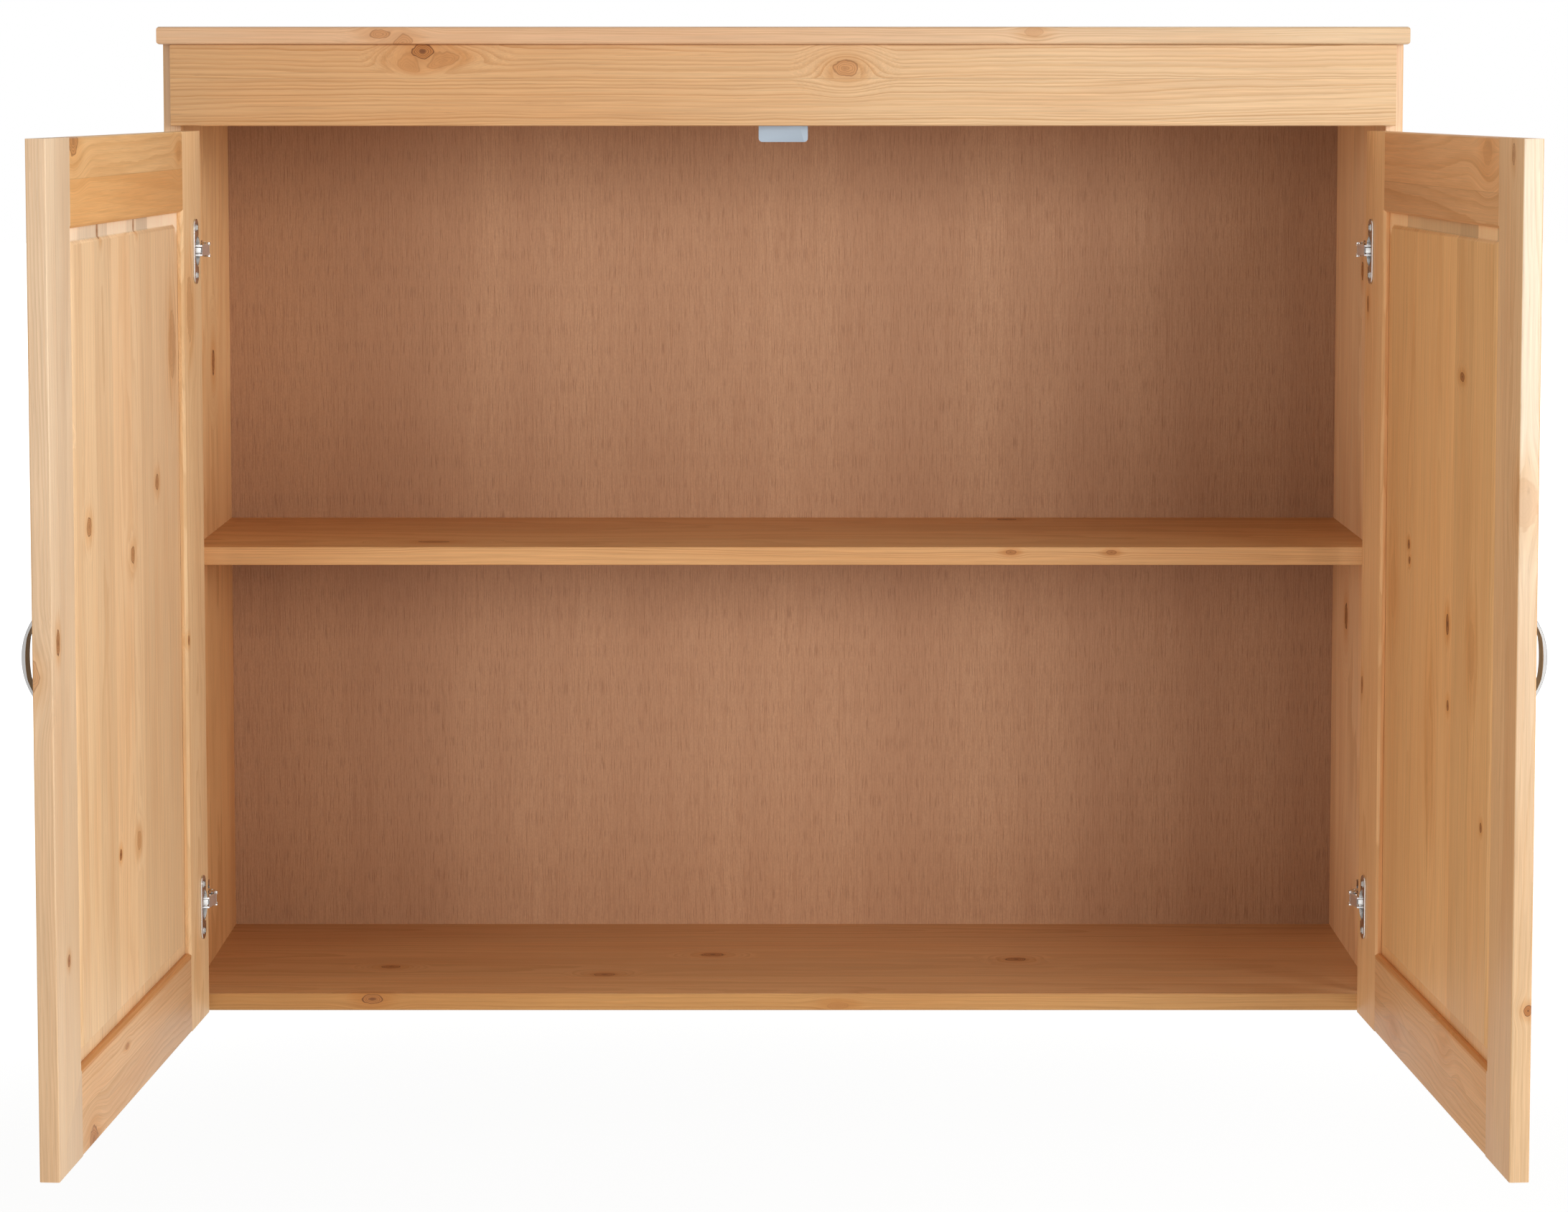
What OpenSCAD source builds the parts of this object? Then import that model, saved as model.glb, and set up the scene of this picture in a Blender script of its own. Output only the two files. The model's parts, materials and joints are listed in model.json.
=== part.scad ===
// Wall cupboard with two framed doors, drawn with both doors open.
// The origin lies on the wall, midway between the two hanging screws. +Z is up and -Y is the front.
// Sub-parts are described in the case's own frame: x from the middle, y from the front edges
// of the sides towards the wall, z from the underside of the case.

/* [Case] */
// Width of the top board
top_w = 1000; // [900:1:1200]
// Overhang of the top board past each side
top_lip = 2; // [0:0.5:6]
// Overhang of the top board past the front edges of the sides
top_front = 20; // [17:1:30]
// Thickness of the top board
top_t = 14; // [12:1:22]
// Height of the sides
side_h = 787; // [700:1:900]
// Depth from the front edges of the sides to the wall
case_d = 263; // [200:1:350]
// Thickness of the sides
side_t = 14; // [13:1:20]
// Thickness of the bottom board
bottom_t = 14; // [12:1:20]
// Thickness of the shelf
shelf_t = 15; // [12:1:20]
// Height of the underside of the shelf
shelf_z = 361; // [200:1:500]
// Distance of the shelf's front edge behind the front edges of the sides
shelf_setback = 44; // [20:1:70]
// Thickness of the back panel
back_t = 3; // [3:0.5:5]
// Width of the rebates in the sides that take the back panel
rebate_w = 7.5; // [6:0.5:9]
// Radius of the rounded edges of the top board
top_round = 2.4; // [1:0.2:4]
// Radius of the eased edges of the other boards
arris = 1.2; // [0.5:0.1:2]

/* [Frieze and hanging rail] */
// Distance of the frieze's ends inside the outer faces of the sides
frieze_in = 8; // [6:0.5:12]
// Height of the frieze
frieze_h = 65; // [50:1:80]
// Thickness of the frieze
frieze_t = 15; // [13:1:16]
// Height of the hanging rail
rail_h = 60; // [50:1:90]
// Thickness of the hanging rail
rail_t = 18; // [14:1:22]
// Distance between the two hanging screws
hang_span = 800; // [600:10:900]
// Diameter of the hanging holes
hang_d = 6; // [5:0.5:8]

/* [Doors] */
// Thickness of the door frames
door_t = 14; // [14:1:18]
// Gap between the two closed doors
door_mid_gap = 3; // [2:0.5:5]
// Height of the doors' lower edges above the underside of the case
door_z = 1; // [0:0.5:4]
// Gap between the doors and the frieze
door_top_gap = 4; // [2:0.5:6]
// Gap between the closed doors and the front edges of the sides
door_back_gap = 2; // [1.5:0.1:2.5]
// Opening angle of the doors
open_a = 93.6; // [92:0.1:95]
// Distance that the hinge edge moves inwards as the door opens
swing_in = 22.1; // [21.9:0.1:22.3]
// Distance that the hinge edge moves forwards as the door opens
swing_out = 5.5; // [5.3:0.1:5.7]
// Width of the stiles
stile_w = 66; // [55:1:75]
// Height of the door rails
door_rail_h = 63; // [55:1:75]
// Depth of the groove around the panel
groove_d = 10; // [8:0.5:11]
// Width of the groove around the panel
groove_w = 4.4; // [4.3:0.1:5]
// Chamfer along the inner edges of the frame
frame_chamfer = 2; // [1:0.1:2.5]

/* [Door panels] */
// Thickness of the tongue around the panel
tongue_t = 4; // [3.6:0.1:4.2]
// Gap between the tongue and the bottom of the groove
tongue_gap = 1; // [0.5:0.1:2]
// Width of the flat margin above and below the raised field
margin_w = 9; // [6:0.5:14]
// Width of the flat margin at the sides of the raised field
side_margin_w = 15; // [6:0.5:20]
// Width of the slope up to the raised field
slope_w = 3; // [1.5:0.1:8]
// Height of the raised field above the margin
field_h = 2.6; // [1:0.1:4]

/* [Handles] */
// Distance of the handle from the door's free edge
handle_in = 38; // [30:1:50]
// Length of the bow of the handle
bow_l = 74; // [64:1:90]
// Height of the bow above the door
bow_h = 16.5; // [15:0.5:20]
// Thickness of the bow in its middle
bow_mid_t = 4.2; // [3.5:0.1:5]
// Thickness of the bow near its feet
bow_end_t = 3; // [2.5:0.1:4]
// Width of the bow
bow_w = 11; // [10:0.5:16]
// Thickness of the screw pads at the feet
pad_t = 2.2; // [2:0.1:3]
// Length of the pads past the bow, to the screw centres
pad_l = 4.5; // [4.5:0.1:7]

/* [Hinges] */
// Height of the lower hinges above the doors' lower edges
hinge_low = 91.5; // [70:0.5:120]
// Distance of the upper hinges below the doors' upper edges
hinge_high = 95.7; // [70:0.1:120]
// Outer radius of the hinge cup
cup_r = 13; // [12.9:0.1:13.1]
// Wall thickness of the hinge cup
cup_wall = 0.6; // [0.5:0.1:0.6]
// Depth of the hinge cup
cup_d = 10.5; // [10.5:0.1:11]
// Distance of the cup's centre from the door's hinge edge
cup_in = 16; // [16:0.1:16.2]
// Thickness of the cup's flange
flange_t = 1.6; // [1.2:0.1:1.6]
// Length of the cup's flange along the door
flange_l = 52; // [48:1:60]
// Distance between the two screws of a cup
cup_screw_span = 38; // [36:1:42]
// Radius of the hinge pins
pin_r = 0.75; // [0.7:0.01:0.78]
// Radial clearance of the links on the pins
pin_fit = 0.05; // [0.03:0.01:0.08]
// Outer radius of the links' eyes
eye_r = 1.4; // [1.3:0.05:1.45]
// Inner radius of the inner link's wide rear eye
wide_eye_r = 2.2; // [2.1:0.05:2.3]
// Thickness of the cheeks of the outer link
cheek_t = 1; // [0.9:0.05:1]

/* [Stop plate] */
// Width of the door stop plate
stop_w = 39.5; // [30:0.5:50]
// Length of the plate below the frieze
stop_drop = 13; // [10:0.5:16]
// Length of the plate behind the frieze
stop_up = 13; // [11:0.5:18]
// Thickness of the plate
stop_t = 2; // [1.8:0.1:2.5]
// Gap between the plate and the closed doors
stop_gap = 0.4; // [0.3:0.1:0.6]

/* [Fixings] */
// Radius of the dowels
dowel_r = 3; // [2.5:0.5:3.5]
// Depth of the dowels in a board's face
dowel_face = 9; // [7:1:10]
// Depth of the dowels in a board's end
dowel_end = 18; // [14:1:22]
// Radial play of the glued dowels
glue_gap = 0.05; // [0.02:0.01:0.1]
// Radius of the shanks of the small wood screws
screw_r = 1.5; // [1.3:0.1:1.7]
// Radius of the heads of the small wood screws
head_r = 2.8; // [2.5:0.1:3]
// Radius of the nails
nail_r = 0.7; // [0.6:0.1:0.9]
// Radius of the nail heads
nail_head_r = 2; // [1.6:0.1:2.2]

/* [Hidden] */
$fn = 48;
LEFT = -1;
RIGHT = 1;

pine = [0.86, 0.68, 0.46];
pale_pine = [0.9, 0.74, 0.54];
veneer = [0.6, 0.42, 0.3];
beech = [0.88, 0.76, 0.58];
nickel = [0.72, 0.71, 0.68];
zinc = [0.66, 0.69, 0.73];
pewter = [0.5, 0.5, 0.48];
steel = [0.6, 0.6, 0.6];

// Case
case_w = top_w - 2 * top_lip;
inner_x = case_w / 2 - side_t;
back_y = case_d - back_t;
back_gap = 0.5;
hang_z = side_h - rail_h / 2;
frieze_w = case_w - 2 * frieze_in;
frieze_z = side_h - frieze_h;
shelf_d = back_y - shelf_setback;
dowel_margin = 40;
dowel_ys = [dowel_margin, back_y / 2, back_y - dowel_margin];
shelf_dowel_ys = [shelf_setback + dowel_margin, shelf_setback + shelf_d / 2, back_y - dowel_margin];
rail_y = back_y - rail_t / 2;
rail_dowel_zs = [side_h - rail_h * 0.75, side_h - rail_h * 0.25];
frieze_dowel_xs = [for (i = [-2:2]) i * frieze_w / 5];
frieze_dowel_down = 15;
nail_l = 15;
nail_head_t = 0.8;
side_nail_count = 7;
side_nail_margin = 60;
side_nail_pitch = (side_h - 2 * side_nail_margin) / (side_nail_count - 1);
board_nail_span = 1.6 * inner_x;
board_nail_count = 5;

// Doors
door_w = (frieze_w - door_mid_gap) / 2;
door_h = frieze_z - door_top_gap - door_z;
open_w = door_w - 2 * stile_w;
open_h = door_h - 2 * door_rail_h;
door_mid_z = door_z + door_h / 2;
joint_gap = 0.05;
over = 1;

// Handles
bow_r = (bow_l * bow_l / 4 + bow_h * bow_h) / (2 * bow_h);
bow_mid_r = 106;
bow_edge = 1;
pad_r = bow_w / 2;
pad_screw_z = bow_l / 2 + pad_l;
pad_screw_r = 1.4;
pad_lap = 3;

// Hinges, in the case's plan seen from above, for the left door
hinge_zs = [door_z + hinge_low, door_z + door_h - hinge_high];
closed_corner = [-frieze_w / 2, -door_back_gap];
open_corner = closed_corner + [swing_in, -swing_out];
corner_move = open_corner - closed_corner;
pole = closed_corner + corner_move / 2 + norm(corner_move) / 2 / tan(open_a / 2)
       * [corner_move.y, -corner_move.x] / norm(corner_move);
hinge_start = [-inner_x, 0];
arm_pin_front = hinge_start + [20.6, 3.1];
arm_pin_rear = hinge_start + [16.4, 10];
outer_elbow = hinge_start + [17.2, -14.8];
inner_elbow = hinge_start + [17, -12.2];
inner_bend = hinge_start + [17.2, -7.4];
outer_pin_reach = 9.2;
inner_pin_reach = 9;
cup_pin_outer = cup_pin(arm_pin_front, outer_pin_reach);
cup_pin_inner = cup_pin(arm_pin_rear, inner_pin_reach);
cup_pin_outer_open = door_point(cup_pin_outer);
cup_pin_inner_open = door_point(cup_pin_inner);
cheek_out = 4.2;
cheek_w = 1.05;
web_in = 0.35;
web_start = 1.9;
inner_link_h = 4.4;
inner_link_w = 0.45;
wide_eye_wall = 0.8;
stub_in = 2.9;
ear_in = 4.6;
ear_out = 5.7;
ear_w = 1.8;
arm_front = 14.5;
arm_rear = 50;
arm_top = 8.5;
arm_t = 1.1;
arm_pin_end = 6;
base_t = 2;
base_rear = 57;
block_w = 4.4;
block_top = 6.8;
block_ys = [24, 48];
base_screw_ys = [19, 57];
base_screw_l = 9;
arm_screw_y = 40;
arm_adjust_y = 30;
arm_screw_r = 2;
arm_screw_l = 4.5;
arm_head_r = 3.2;
arm_head_t = 1.6;
adjust_screw_l = 3;
adjust_end = 0.6;
thread_gap = 0.02;
slot_l = 1.1;
slot_w = 0.24;
flange_start = cup_in;
flange_end = 31;
flange_mid = (flange_start + flange_end) / 2;
flange_r = (flange_end - flange_start) / 2;
cup_screw_l = 9;
head_t = 1.2;

// Stop plate
stop_y = stop_gap - door_back_gap;
stop_r = 3;
stop_screw_x = 12;
stop_screw_l = 9;

// Distance of a cup pin from the pole is the same open and closed, so its place follows from the arm's pin
function cup_pin(arm_pin, r) =
  let (d = arm_pin - pole, a = atan2(d.y, d.x) + open_a / 2)
  pole + r * [cos(a), sin(a)] - closed_corner;
function door_point(p) =
  open_corner + [p.x * cos(open_a) + p.y * sin(open_a), -p.x * sin(open_a) + p.y * cos(open_a)];
function unit(v) = v / norm(v);
function left_of(v) = [-v.y, v.x];
// One edge of a strap that follows a path, at a distance to the left of it
function strap_edge(path, offset) = [
  for (i = [0:len(path) - 1])
    let (
      before = unit(path[max(i, 1)] - path[max(i, 1) - 1]),
      after = unit(path[min(i + 1, len(path) - 1)] - path[min(i + 1, len(path) - 1) - 1]),
      middle = unit(left_of(before) + left_of(after))
    )
    path[i] + middle * offset / (middle * left_of(before))
];
function reversed(list) = [for (i = [len(list) - 1:-1:0]) list[i]];
function strap(path, low, high) = concat(strap_edge(path, low), reversed(strap_edge(path, high)));

// Frames
module in_case() {
  translate([0, -case_d, -hang_z]) children();
}
module on_side(s) {
  in_case() mirror([s == RIGHT ? 1 : 0, 0, 0]) children();
}
// The door's own frame: x from the hinge edge, y = 0 on the inner face and -door_t on the outer face
module on_door(s) {
  on_side(s) translate([open_corner.x, open_corner.y, 0]) rotate([0, 0, -open_a]) children();
}
module at_hinges() {
  for (z = hinge_zs) translate([0, 0, z]) children();
}

// Shapes that repeat
module along_x(l) {
  rotate([90, 0, 90]) linear_extrude(l) children();
}
module rod_x(r, l) {
  rotate([0, 90, 0]) cylinder(r = r, h = l);
}
module rod_y(r, l) {
  rotate([-90, 0, 0]) cylinder(r = r, h = l);
}
module round_rect(w, h, r) {
  translate([r, 0]) square([w - 2 * r, h]);
  translate([0, r]) square([w, h - 2 * r]);
  for (x = [r, w - r], y = [r, h - r]) translate([x, y]) circle(r);
}
// Section of a board with its front edge eased, front at x = 0
module front_eased(d, t, r) {
  translate([r, 0]) square([d - r, t]);
  translate([0, r]) square([r, t - 2 * r]);
  for (y = [r, t - r]) translate([r, y]) circle(r);
}
module screw_x(shank_r, shank_l, top_r, top_t) {
  difference() {
    union() {
      translate([-shank_l, 0, 0]) rod_x(shank_r, shank_l + top_t / 2);
      rod_x(top_r, top_t);
    }
    translate([top_t, 0, 0]) rotate([0, 90, 0]) cross_slot(top_r, top_t);
  }
}
module cross_slot(r, t) {
  for (a = [0, 90]) rotate([0, 0, a]) cube([slot_l * r, slot_w * r, t], center = true);
}

// Dowels between a side and the boards that meet it
module side_dowels(s, play) {
  mirror([s == LEFT ? 1 : 0, 0, 0]) {
    for (y = dowel_ys) {
      translate([inner_x - dowel_end - play, y, bottom_t / 2]) rod_x(dowel_r + play, dowel_end + dowel_face + 2 * play);
      translate([inner_x + side_t / 2, y, side_h - dowel_end - play])
        cylinder(r = dowel_r + play, h = dowel_end + dowel_face + 2 * play);
    }
    for (y = shelf_dowel_ys)
      translate([inner_x - dowel_end - play, y, shelf_z + shelf_t / 2])
        rod_x(dowel_r + play, dowel_end + dowel_face + 2 * play);
    for (z = rail_dowel_zs)
      translate([inner_x - dowel_end - play, rail_y, z]) rod_x(dowel_r + play, dowel_end + dowel_face + 2 * play);
  }
}
module all_side_dowels(play) {
  for (s = [LEFT, RIGHT]) side_dowels(s, play);
}
module frieze_dowel_row(play) {
  for (x = frieze_dowel_xs)
    translate([x, -frieze_t / 2, side_h - frieze_dowel_down - play])
      cylinder(r = dowel_r + play, h = frieze_dowel_down + dowel_face + 2 * play);
}
module nails() {
  for (s = [LEFT, RIGHT], i = [0:side_nail_count - 1])
    translate([s * (inner_x + rebate_w / 2), case_d, side_nail_margin + i * side_nail_pitch]) nail();
  for (i = [0:board_nail_count - 1]) {
    x = (i / (board_nail_count - 1) - 0.5) * board_nail_span;
    translate([x, case_d, bottom_t / 2]) nail();
    translate([x, case_d, shelf_z + shelf_t / 2]) nail();
  }
  for (i = [-1:1]) translate([i * hang_span / 4, case_d, hang_z]) nail();
}
module nail() {
  rotate([90, 0, 0]) {
    cylinder(r = nail_head_r, h = nail_head_t);
    cylinder(r = nail_r, h = nail_l);
  }
}
module hang_holes() {
  for (s = [LEFT, RIGHT]) translate([s * hang_span / 2, back_y - rail_t - over, hang_z])
    rod_y(hang_d / 2, rail_t + back_t + 2 * over);
}

// Case
module side_panel(s) {
  color(pine) on_side(s) difference() {
    translate([-case_w / 2, 0, 0]) linear_extrude(side_h) difference() {
      rotate([0, 0, 90]) mirror([0, 1, 0]) front_eased(case_d, side_t, arris);
      translate([side_t - rebate_w, back_y]) square([rebate_w + over, back_t + over]);
    }
    side_dowels(LEFT, glue_gap);
    nails();
    hinge_base_screw_set();
  }
}
module top_board() {
  color(pine) in_case() difference() {
    intersection() {
      translate([-top_w / 2, -top_front, side_h]) along_x(top_w) front_eased(case_d + top_front, top_t, top_round);
      translate([-top_w / 2, case_d, side_h]) rotate([90, 0, 0]) linear_extrude(case_d + top_front)
        round_rect(top_w, top_t, top_round);
    }
    all_side_dowels(glue_gap);
    frieze_dowel_row(glue_gap);
  }
}
module bottom_board() {
  color(pine) in_case() difference() {
    translate([-inner_x, 0, 0]) along_x(2 * inner_x) front_eased(back_y, bottom_t, arris);
    all_side_dowels(glue_gap);
    nails();
  }
}
module shelf() {
  color(pine) in_case() difference() {
    translate([-inner_x, shelf_setback, shelf_z]) along_x(2 * inner_x) front_eased(shelf_d, shelf_t, arris);
    all_side_dowels(glue_gap);
    nails();
  }
}
module frieze() {
  color(pine) in_case() difference() {
    translate([-frieze_w / 2, -frieze_t, frieze_z]) along_x(frieze_w) front_eased(frieze_t, frieze_h, arris);
    frieze_dowel_row(glue_gap);
    translate([-stop_w / 2 - joint_gap, stop_y, frieze_z - over])
      cube([stop_w + 2 * joint_gap, door_back_gap + over, stop_up + joint_gap + over]);
    stop_screws();
  }
}
module hanging_rail() {
  color(pine) in_case() difference() {
    translate([-inner_x, back_y - rail_t, side_h - rail_h]) cube([2 * inner_x, rail_t, rail_h]);
    all_side_dowels(glue_gap);
    nails();
    hang_holes();
  }
}
module back_panel() {
  color(veneer) in_case() difference() {
    translate([-inner_x - rebate_w + back_gap, back_y, 0])
      cube([2 * (inner_x + rebate_w - back_gap), back_t, side_h]);
    nails();
    hang_holes();
  }
}
module case_dowels() {
  color(beech) in_case() all_side_dowels(0);
}
module frieze_dowels() {
  color(beech) in_case() frieze_dowel_row(0);
}
module back_panel_nails() {
  color(steel) in_case() nails();
}

// Stop plate behind the frieze
module stop_screws() {
  for (s = [LEFT, RIGHT])
    translate([s * stop_screw_x, stop_y + stop_t, frieze_z + stop_up / 2])
      rotate([0, 0, 90]) screw_x(screw_r, stop_screw_l, head_r, head_t);
}
module door_stop_plate() {
  color(zinc) in_case() difference() {
    translate([-stop_w / 2, stop_y + stop_t, frieze_z - stop_drop]) rotate([90, 0, 0])
      linear_extrude(stop_t) round_rect(stop_w, stop_drop + stop_up, stop_r);
    stop_screws();
  }
}
module door_stop_screws() {
  color(steel) in_case() stop_screws();
}

// Hinge parts on the sides of the case
module hinge_base_screw_set() {
  at_hinges() for (y = base_screw_ys)
    translate([-inner_x + base_t, y, 0]) screw_x(screw_r, base_screw_l + base_t, head_r, head_t);
}
module arm_screw_set() {
  at_hinges() {
    translate([-inner_x + arm_top, arm_screw_y, 0]) screw_x(arm_screw_r, arm_screw_l, arm_head_r, arm_head_t);
    translate([-inner_x + arm_top, arm_adjust_y, 0]) screw_x(arm_screw_r, adjust_screw_l, arm_screw_r, adjust_end);
  }
}
module arm_pin_set(r) {
  at_hinges() for (p = [arm_pin_front, arm_pin_rear])
    translate([p.x, p.y, -arm_pin_end]) cylinder(r = r, h = 2 * arm_pin_end);
}
module hinge_bases(s) {
  color(nickel) on_side(s) difference() {
    at_hinges() translate([-inner_x, 0, 0]) {
      translate([0, arm_front, -ear_out]) cube([base_t, base_rear - arm_front, 2 * ear_out]);
      translate([0, base_rear, 0]) rod_x(ear_out, base_t);
      translate([0, block_ys[0], -block_w]) cube([block_top, block_ys[1] - block_ys[0], 2 * block_w]);
    }
    hinge_base_screw_set();
    arm_screw_set();
  }
}
module hinge_base_screws(s) {
  color(steel) on_side(s) hinge_base_screw_set();
}
module hinge_arms(s) {
  color(nickel) on_side(s) difference() {
    at_hinges() {
      for (z = [-ear_out, ear_in]) translate([0, 0, z]) linear_extrude(ear_out - ear_in) {
        translate([-inner_x + base_t, arm_front]) square([arm_top - base_t, arm_rear - arm_front]);
        polygon(strap([hinge_start + [block_top, arm_front + ear_w], arm_pin_rear, arm_pin_front], -ear_w, ear_w));
        translate(arm_pin_front) circle(ear_w);
        translate(arm_pin_rear) circle(ear_w);
      }
      translate([-inner_x + arm_top - arm_t, arm_front, -ear_out])
        cube([arm_t, arm_rear - arm_front, 2 * ear_out]);
    }
    arm_pin_set(pin_r + thread_gap);
    arm_screw_set();
  }
}
module hinge_arm_screws(s) {
  color(steel) on_side(s) arm_screw_set();
}
module hinge_arm_pins(s) {
  color(steel) on_side(s) arm_pin_set(pin_r);
}

// Links
module outer_links(s) {
  color(nickel) on_side(s) at_hinges() difference() {
    union() {
      for (z = [-cheek_out, cheek_out - cheek_t]) translate([0, 0, z]) linear_extrude(cheek_t) {
        polygon(strap([arm_pin_front, outer_elbow, cup_pin_outer_open], -cheek_w, cheek_w));
        translate(arm_pin_front) circle(eye_r);
        translate(cup_pin_outer_open) circle(eye_r);
      }
      translate([0, 0, -cheek_out]) linear_extrude(2 * cheek_out) polygon(strap(
        [arm_pin_front + web_start * unit(outer_elbow - arm_pin_front), outer_elbow], web_in, cheek_w
      ));
    }
    for (p = [arm_pin_front, cup_pin_outer_open])
      translate([p.x, p.y, -cheek_out - over]) cylinder(r = pin_r + pin_fit, h = 2 * (cheek_out + over));
  }
}
module inner_links(s) {
  color(nickel) on_side(s) at_hinges() translate([0, 0, -inner_link_h / 2]) linear_extrude(inner_link_h)
    difference() {
      union() {
        polygon(strap([
          cup_pin_inner_open, inner_elbow, inner_bend,
          arm_pin_rear + (wide_eye_r + wide_eye_wall / 2) * unit(inner_bend - arm_pin_rear)
        ], -inner_link_w, inner_link_w));
        translate(cup_pin_inner_open) circle(eye_r);
        translate(arm_pin_rear) circle(wide_eye_r + wide_eye_wall);
      }
      translate(cup_pin_inner_open) circle(pin_r + pin_fit);
      translate(arm_pin_rear) circle(wide_eye_r);
    }
}

// Door frame
// Everything inside the frame, with the chamfers of both faces
module frame_opening() {
  intersection() {
    translate([stile_w, 0, door_z]) linear_extrude(door_h) chamfered_gap(open_w);
    translate([0, 0, door_z + door_rail_h]) along_x(door_w) rotate([0, 0, 90]) mirror([0, 1, 0])
      chamfered_gap(open_h);
  }
}
module chamfered_gap(w) {
  c = frame_chamfer;
  polygon([
    [-c - over, over], [w + c + over, over], [w, -c], [w, c - door_t], [w + c + over, -door_t - over],
    [-c - over, -door_t - over], [0, c - door_t], [0, -c]
  ]);
}
module panel_groove() {
  translate([stile_w - groove_d, -door_t / 2 - groove_w / 2, door_z + door_rail_h - groove_d])
    cube([open_w + 2 * groove_d, groove_w, open_h + 2 * groove_d]);
}
module hinge_stile(s) {
  color(pine) on_door(s) difference() {
    translate([0, 0, door_z]) linear_extrude(door_h) mirror([0, 1, 0]) front_eased(stile_w, door_t, arris);
    frame_opening();
    panel_groove();
    stile_slots(stile_w - groove_d);
    at_hinges() translate([cup_in, over, 0]) rotate([90, 0, 0]) cylinder(r = cup_r + glue_gap, h = cup_d + glue_gap + over);
    cup_screw_set();
  }
}
module free_stile(s) {
  color(pine) on_door(s) difference() {
    translate([door_w, 0, door_z]) linear_extrude(door_h) rotate([0, 0, 180]) front_eased(stile_w, door_t, arris);
    frame_opening();
    panel_groove();
    stile_slots(door_w - stile_w);
    handle_screw_set();
  }
}
// Slots in the ends of a stile that take the tenons of the rails
module stile_slots(x) {
  for (z = [door_z - over, door_z + door_h - door_rail_h])
    translate([x, -door_t / 2 - groove_w / 2, z]) cube([groove_d, groove_w, door_rail_h + over]);
}
module door_rail(z, flip) {
  difference() {
    union() {
      translate([stile_w, 0, z]) along_x(open_w) translate([0, flip ? door_rail_h : 0])
        mirror([0, flip ? 1 : 0]) rotate([0, 0, 90]) front_eased(door_rail_h, door_t, arris);
      translate([stile_w - groove_d + tongue_gap, -door_t / 2 - groove_w / 2 + joint_gap, z])
        cube([open_w + 2 * (groove_d - tongue_gap), groove_w - 2 * joint_gap, door_rail_h]);
    }
    frame_opening();
    panel_groove();
  }
}
module top_rail(s) {
  color(pine) on_door(s) door_rail(door_z + door_h - door_rail_h, true);
}
module bottom_rail(s) {
  color(pine) on_door(s) door_rail(door_z, false);
}
// Section of the panel across its width or height, w wide between the frame members, m to the slope
module panel_section(w, m) {
  e = groove_d - tongue_gap;
  inner = -door_t / 2 + tongue_t / 2;
  outer = -door_t / 2 - tongue_t / 2;
  polygon([
    [-e, inner], [m, inner], [m + slope_w, inner + field_h],
    [w - m - slope_w, inner + field_h], [w - m, inner], [w + e, inner],
    [w + e, outer], [w - m, outer], [w - m - slope_w, outer - field_h],
    [m + slope_w, outer - field_h], [m, outer], [-e, outer]
  ]);
}
module door_panel(s) {
  color(pale_pine) on_door(s) intersection() {
    translate([stile_w, 0, door_z]) linear_extrude(door_h) panel_section(open_w, side_margin_w);
    translate([0, 0, door_z + door_rail_h]) along_x(door_w) rotate([0, 0, 90]) mirror([0, 1, 0])
      panel_section(open_h, margin_w);
  }
}

// Hinge parts on the doors
// The pins end in the wall of the cup, at a distance from its axis
module cup_pin_set(r, reach) {
  at_hinges() intersection() {
    union() {
      for (z = [stub_in, -reach])
        translate([cup_pin_outer.x, cup_pin_outer.y, z]) cylinder(r = r, h = reach - stub_in);
      translate([cup_pin_inner.x, cup_pin_inner.y, -reach]) cylinder(r = r, h = 2 * reach);
    }
    translate([cup_in, 0, 0]) rotate([90, 0, 0]) cylinder(r = reach, h = cup_d);
  }
}
module cup_screw_set() {
  at_hinges() for (z = [-1, 1])
    translate([flange_mid, flange_t, z * cup_screw_span / 2]) rotate([0, 0, 90])
      screw_x(screw_r, cup_screw_l + flange_t, head_r, head_t);
}
module hinge_cups(s) {
  color(nickel) on_door(s) difference() {
    at_hinges() rotate([90, 0, 0]) {
      translate([cup_in, 0, 0]) difference() {
        cylinder(r = cup_r, h = cup_d);
        translate([0, 0, -over]) cylinder(r = cup_r - cup_wall, h = cup_d - cup_wall + over);
      }
      translate([0, 0, -flange_t]) linear_extrude(flange_t) difference() {
        union() {
          translate([flange_start, flange_r - flange_l / 2])
            square([flange_end - flange_start, flange_l - 2 * flange_r]);
          for (y = [-1, 1]) translate([flange_mid, y * (flange_l / 2 - flange_r)]) circle(flange_r);
        }
        translate([cup_in, 0]) circle(cup_r - cup_wall);
      }
    }
    cup_pin_set(pin_r + thread_gap, cup_r + over);
    cup_screw_set();
  }
}
module hinge_cup_pins(s) {
  color(steel) on_door(s) cup_pin_set(pin_r, cup_r);
}
module hinge_cup_screws(s) {
  color(steel) on_door(s) cup_screw_set();
}

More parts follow.
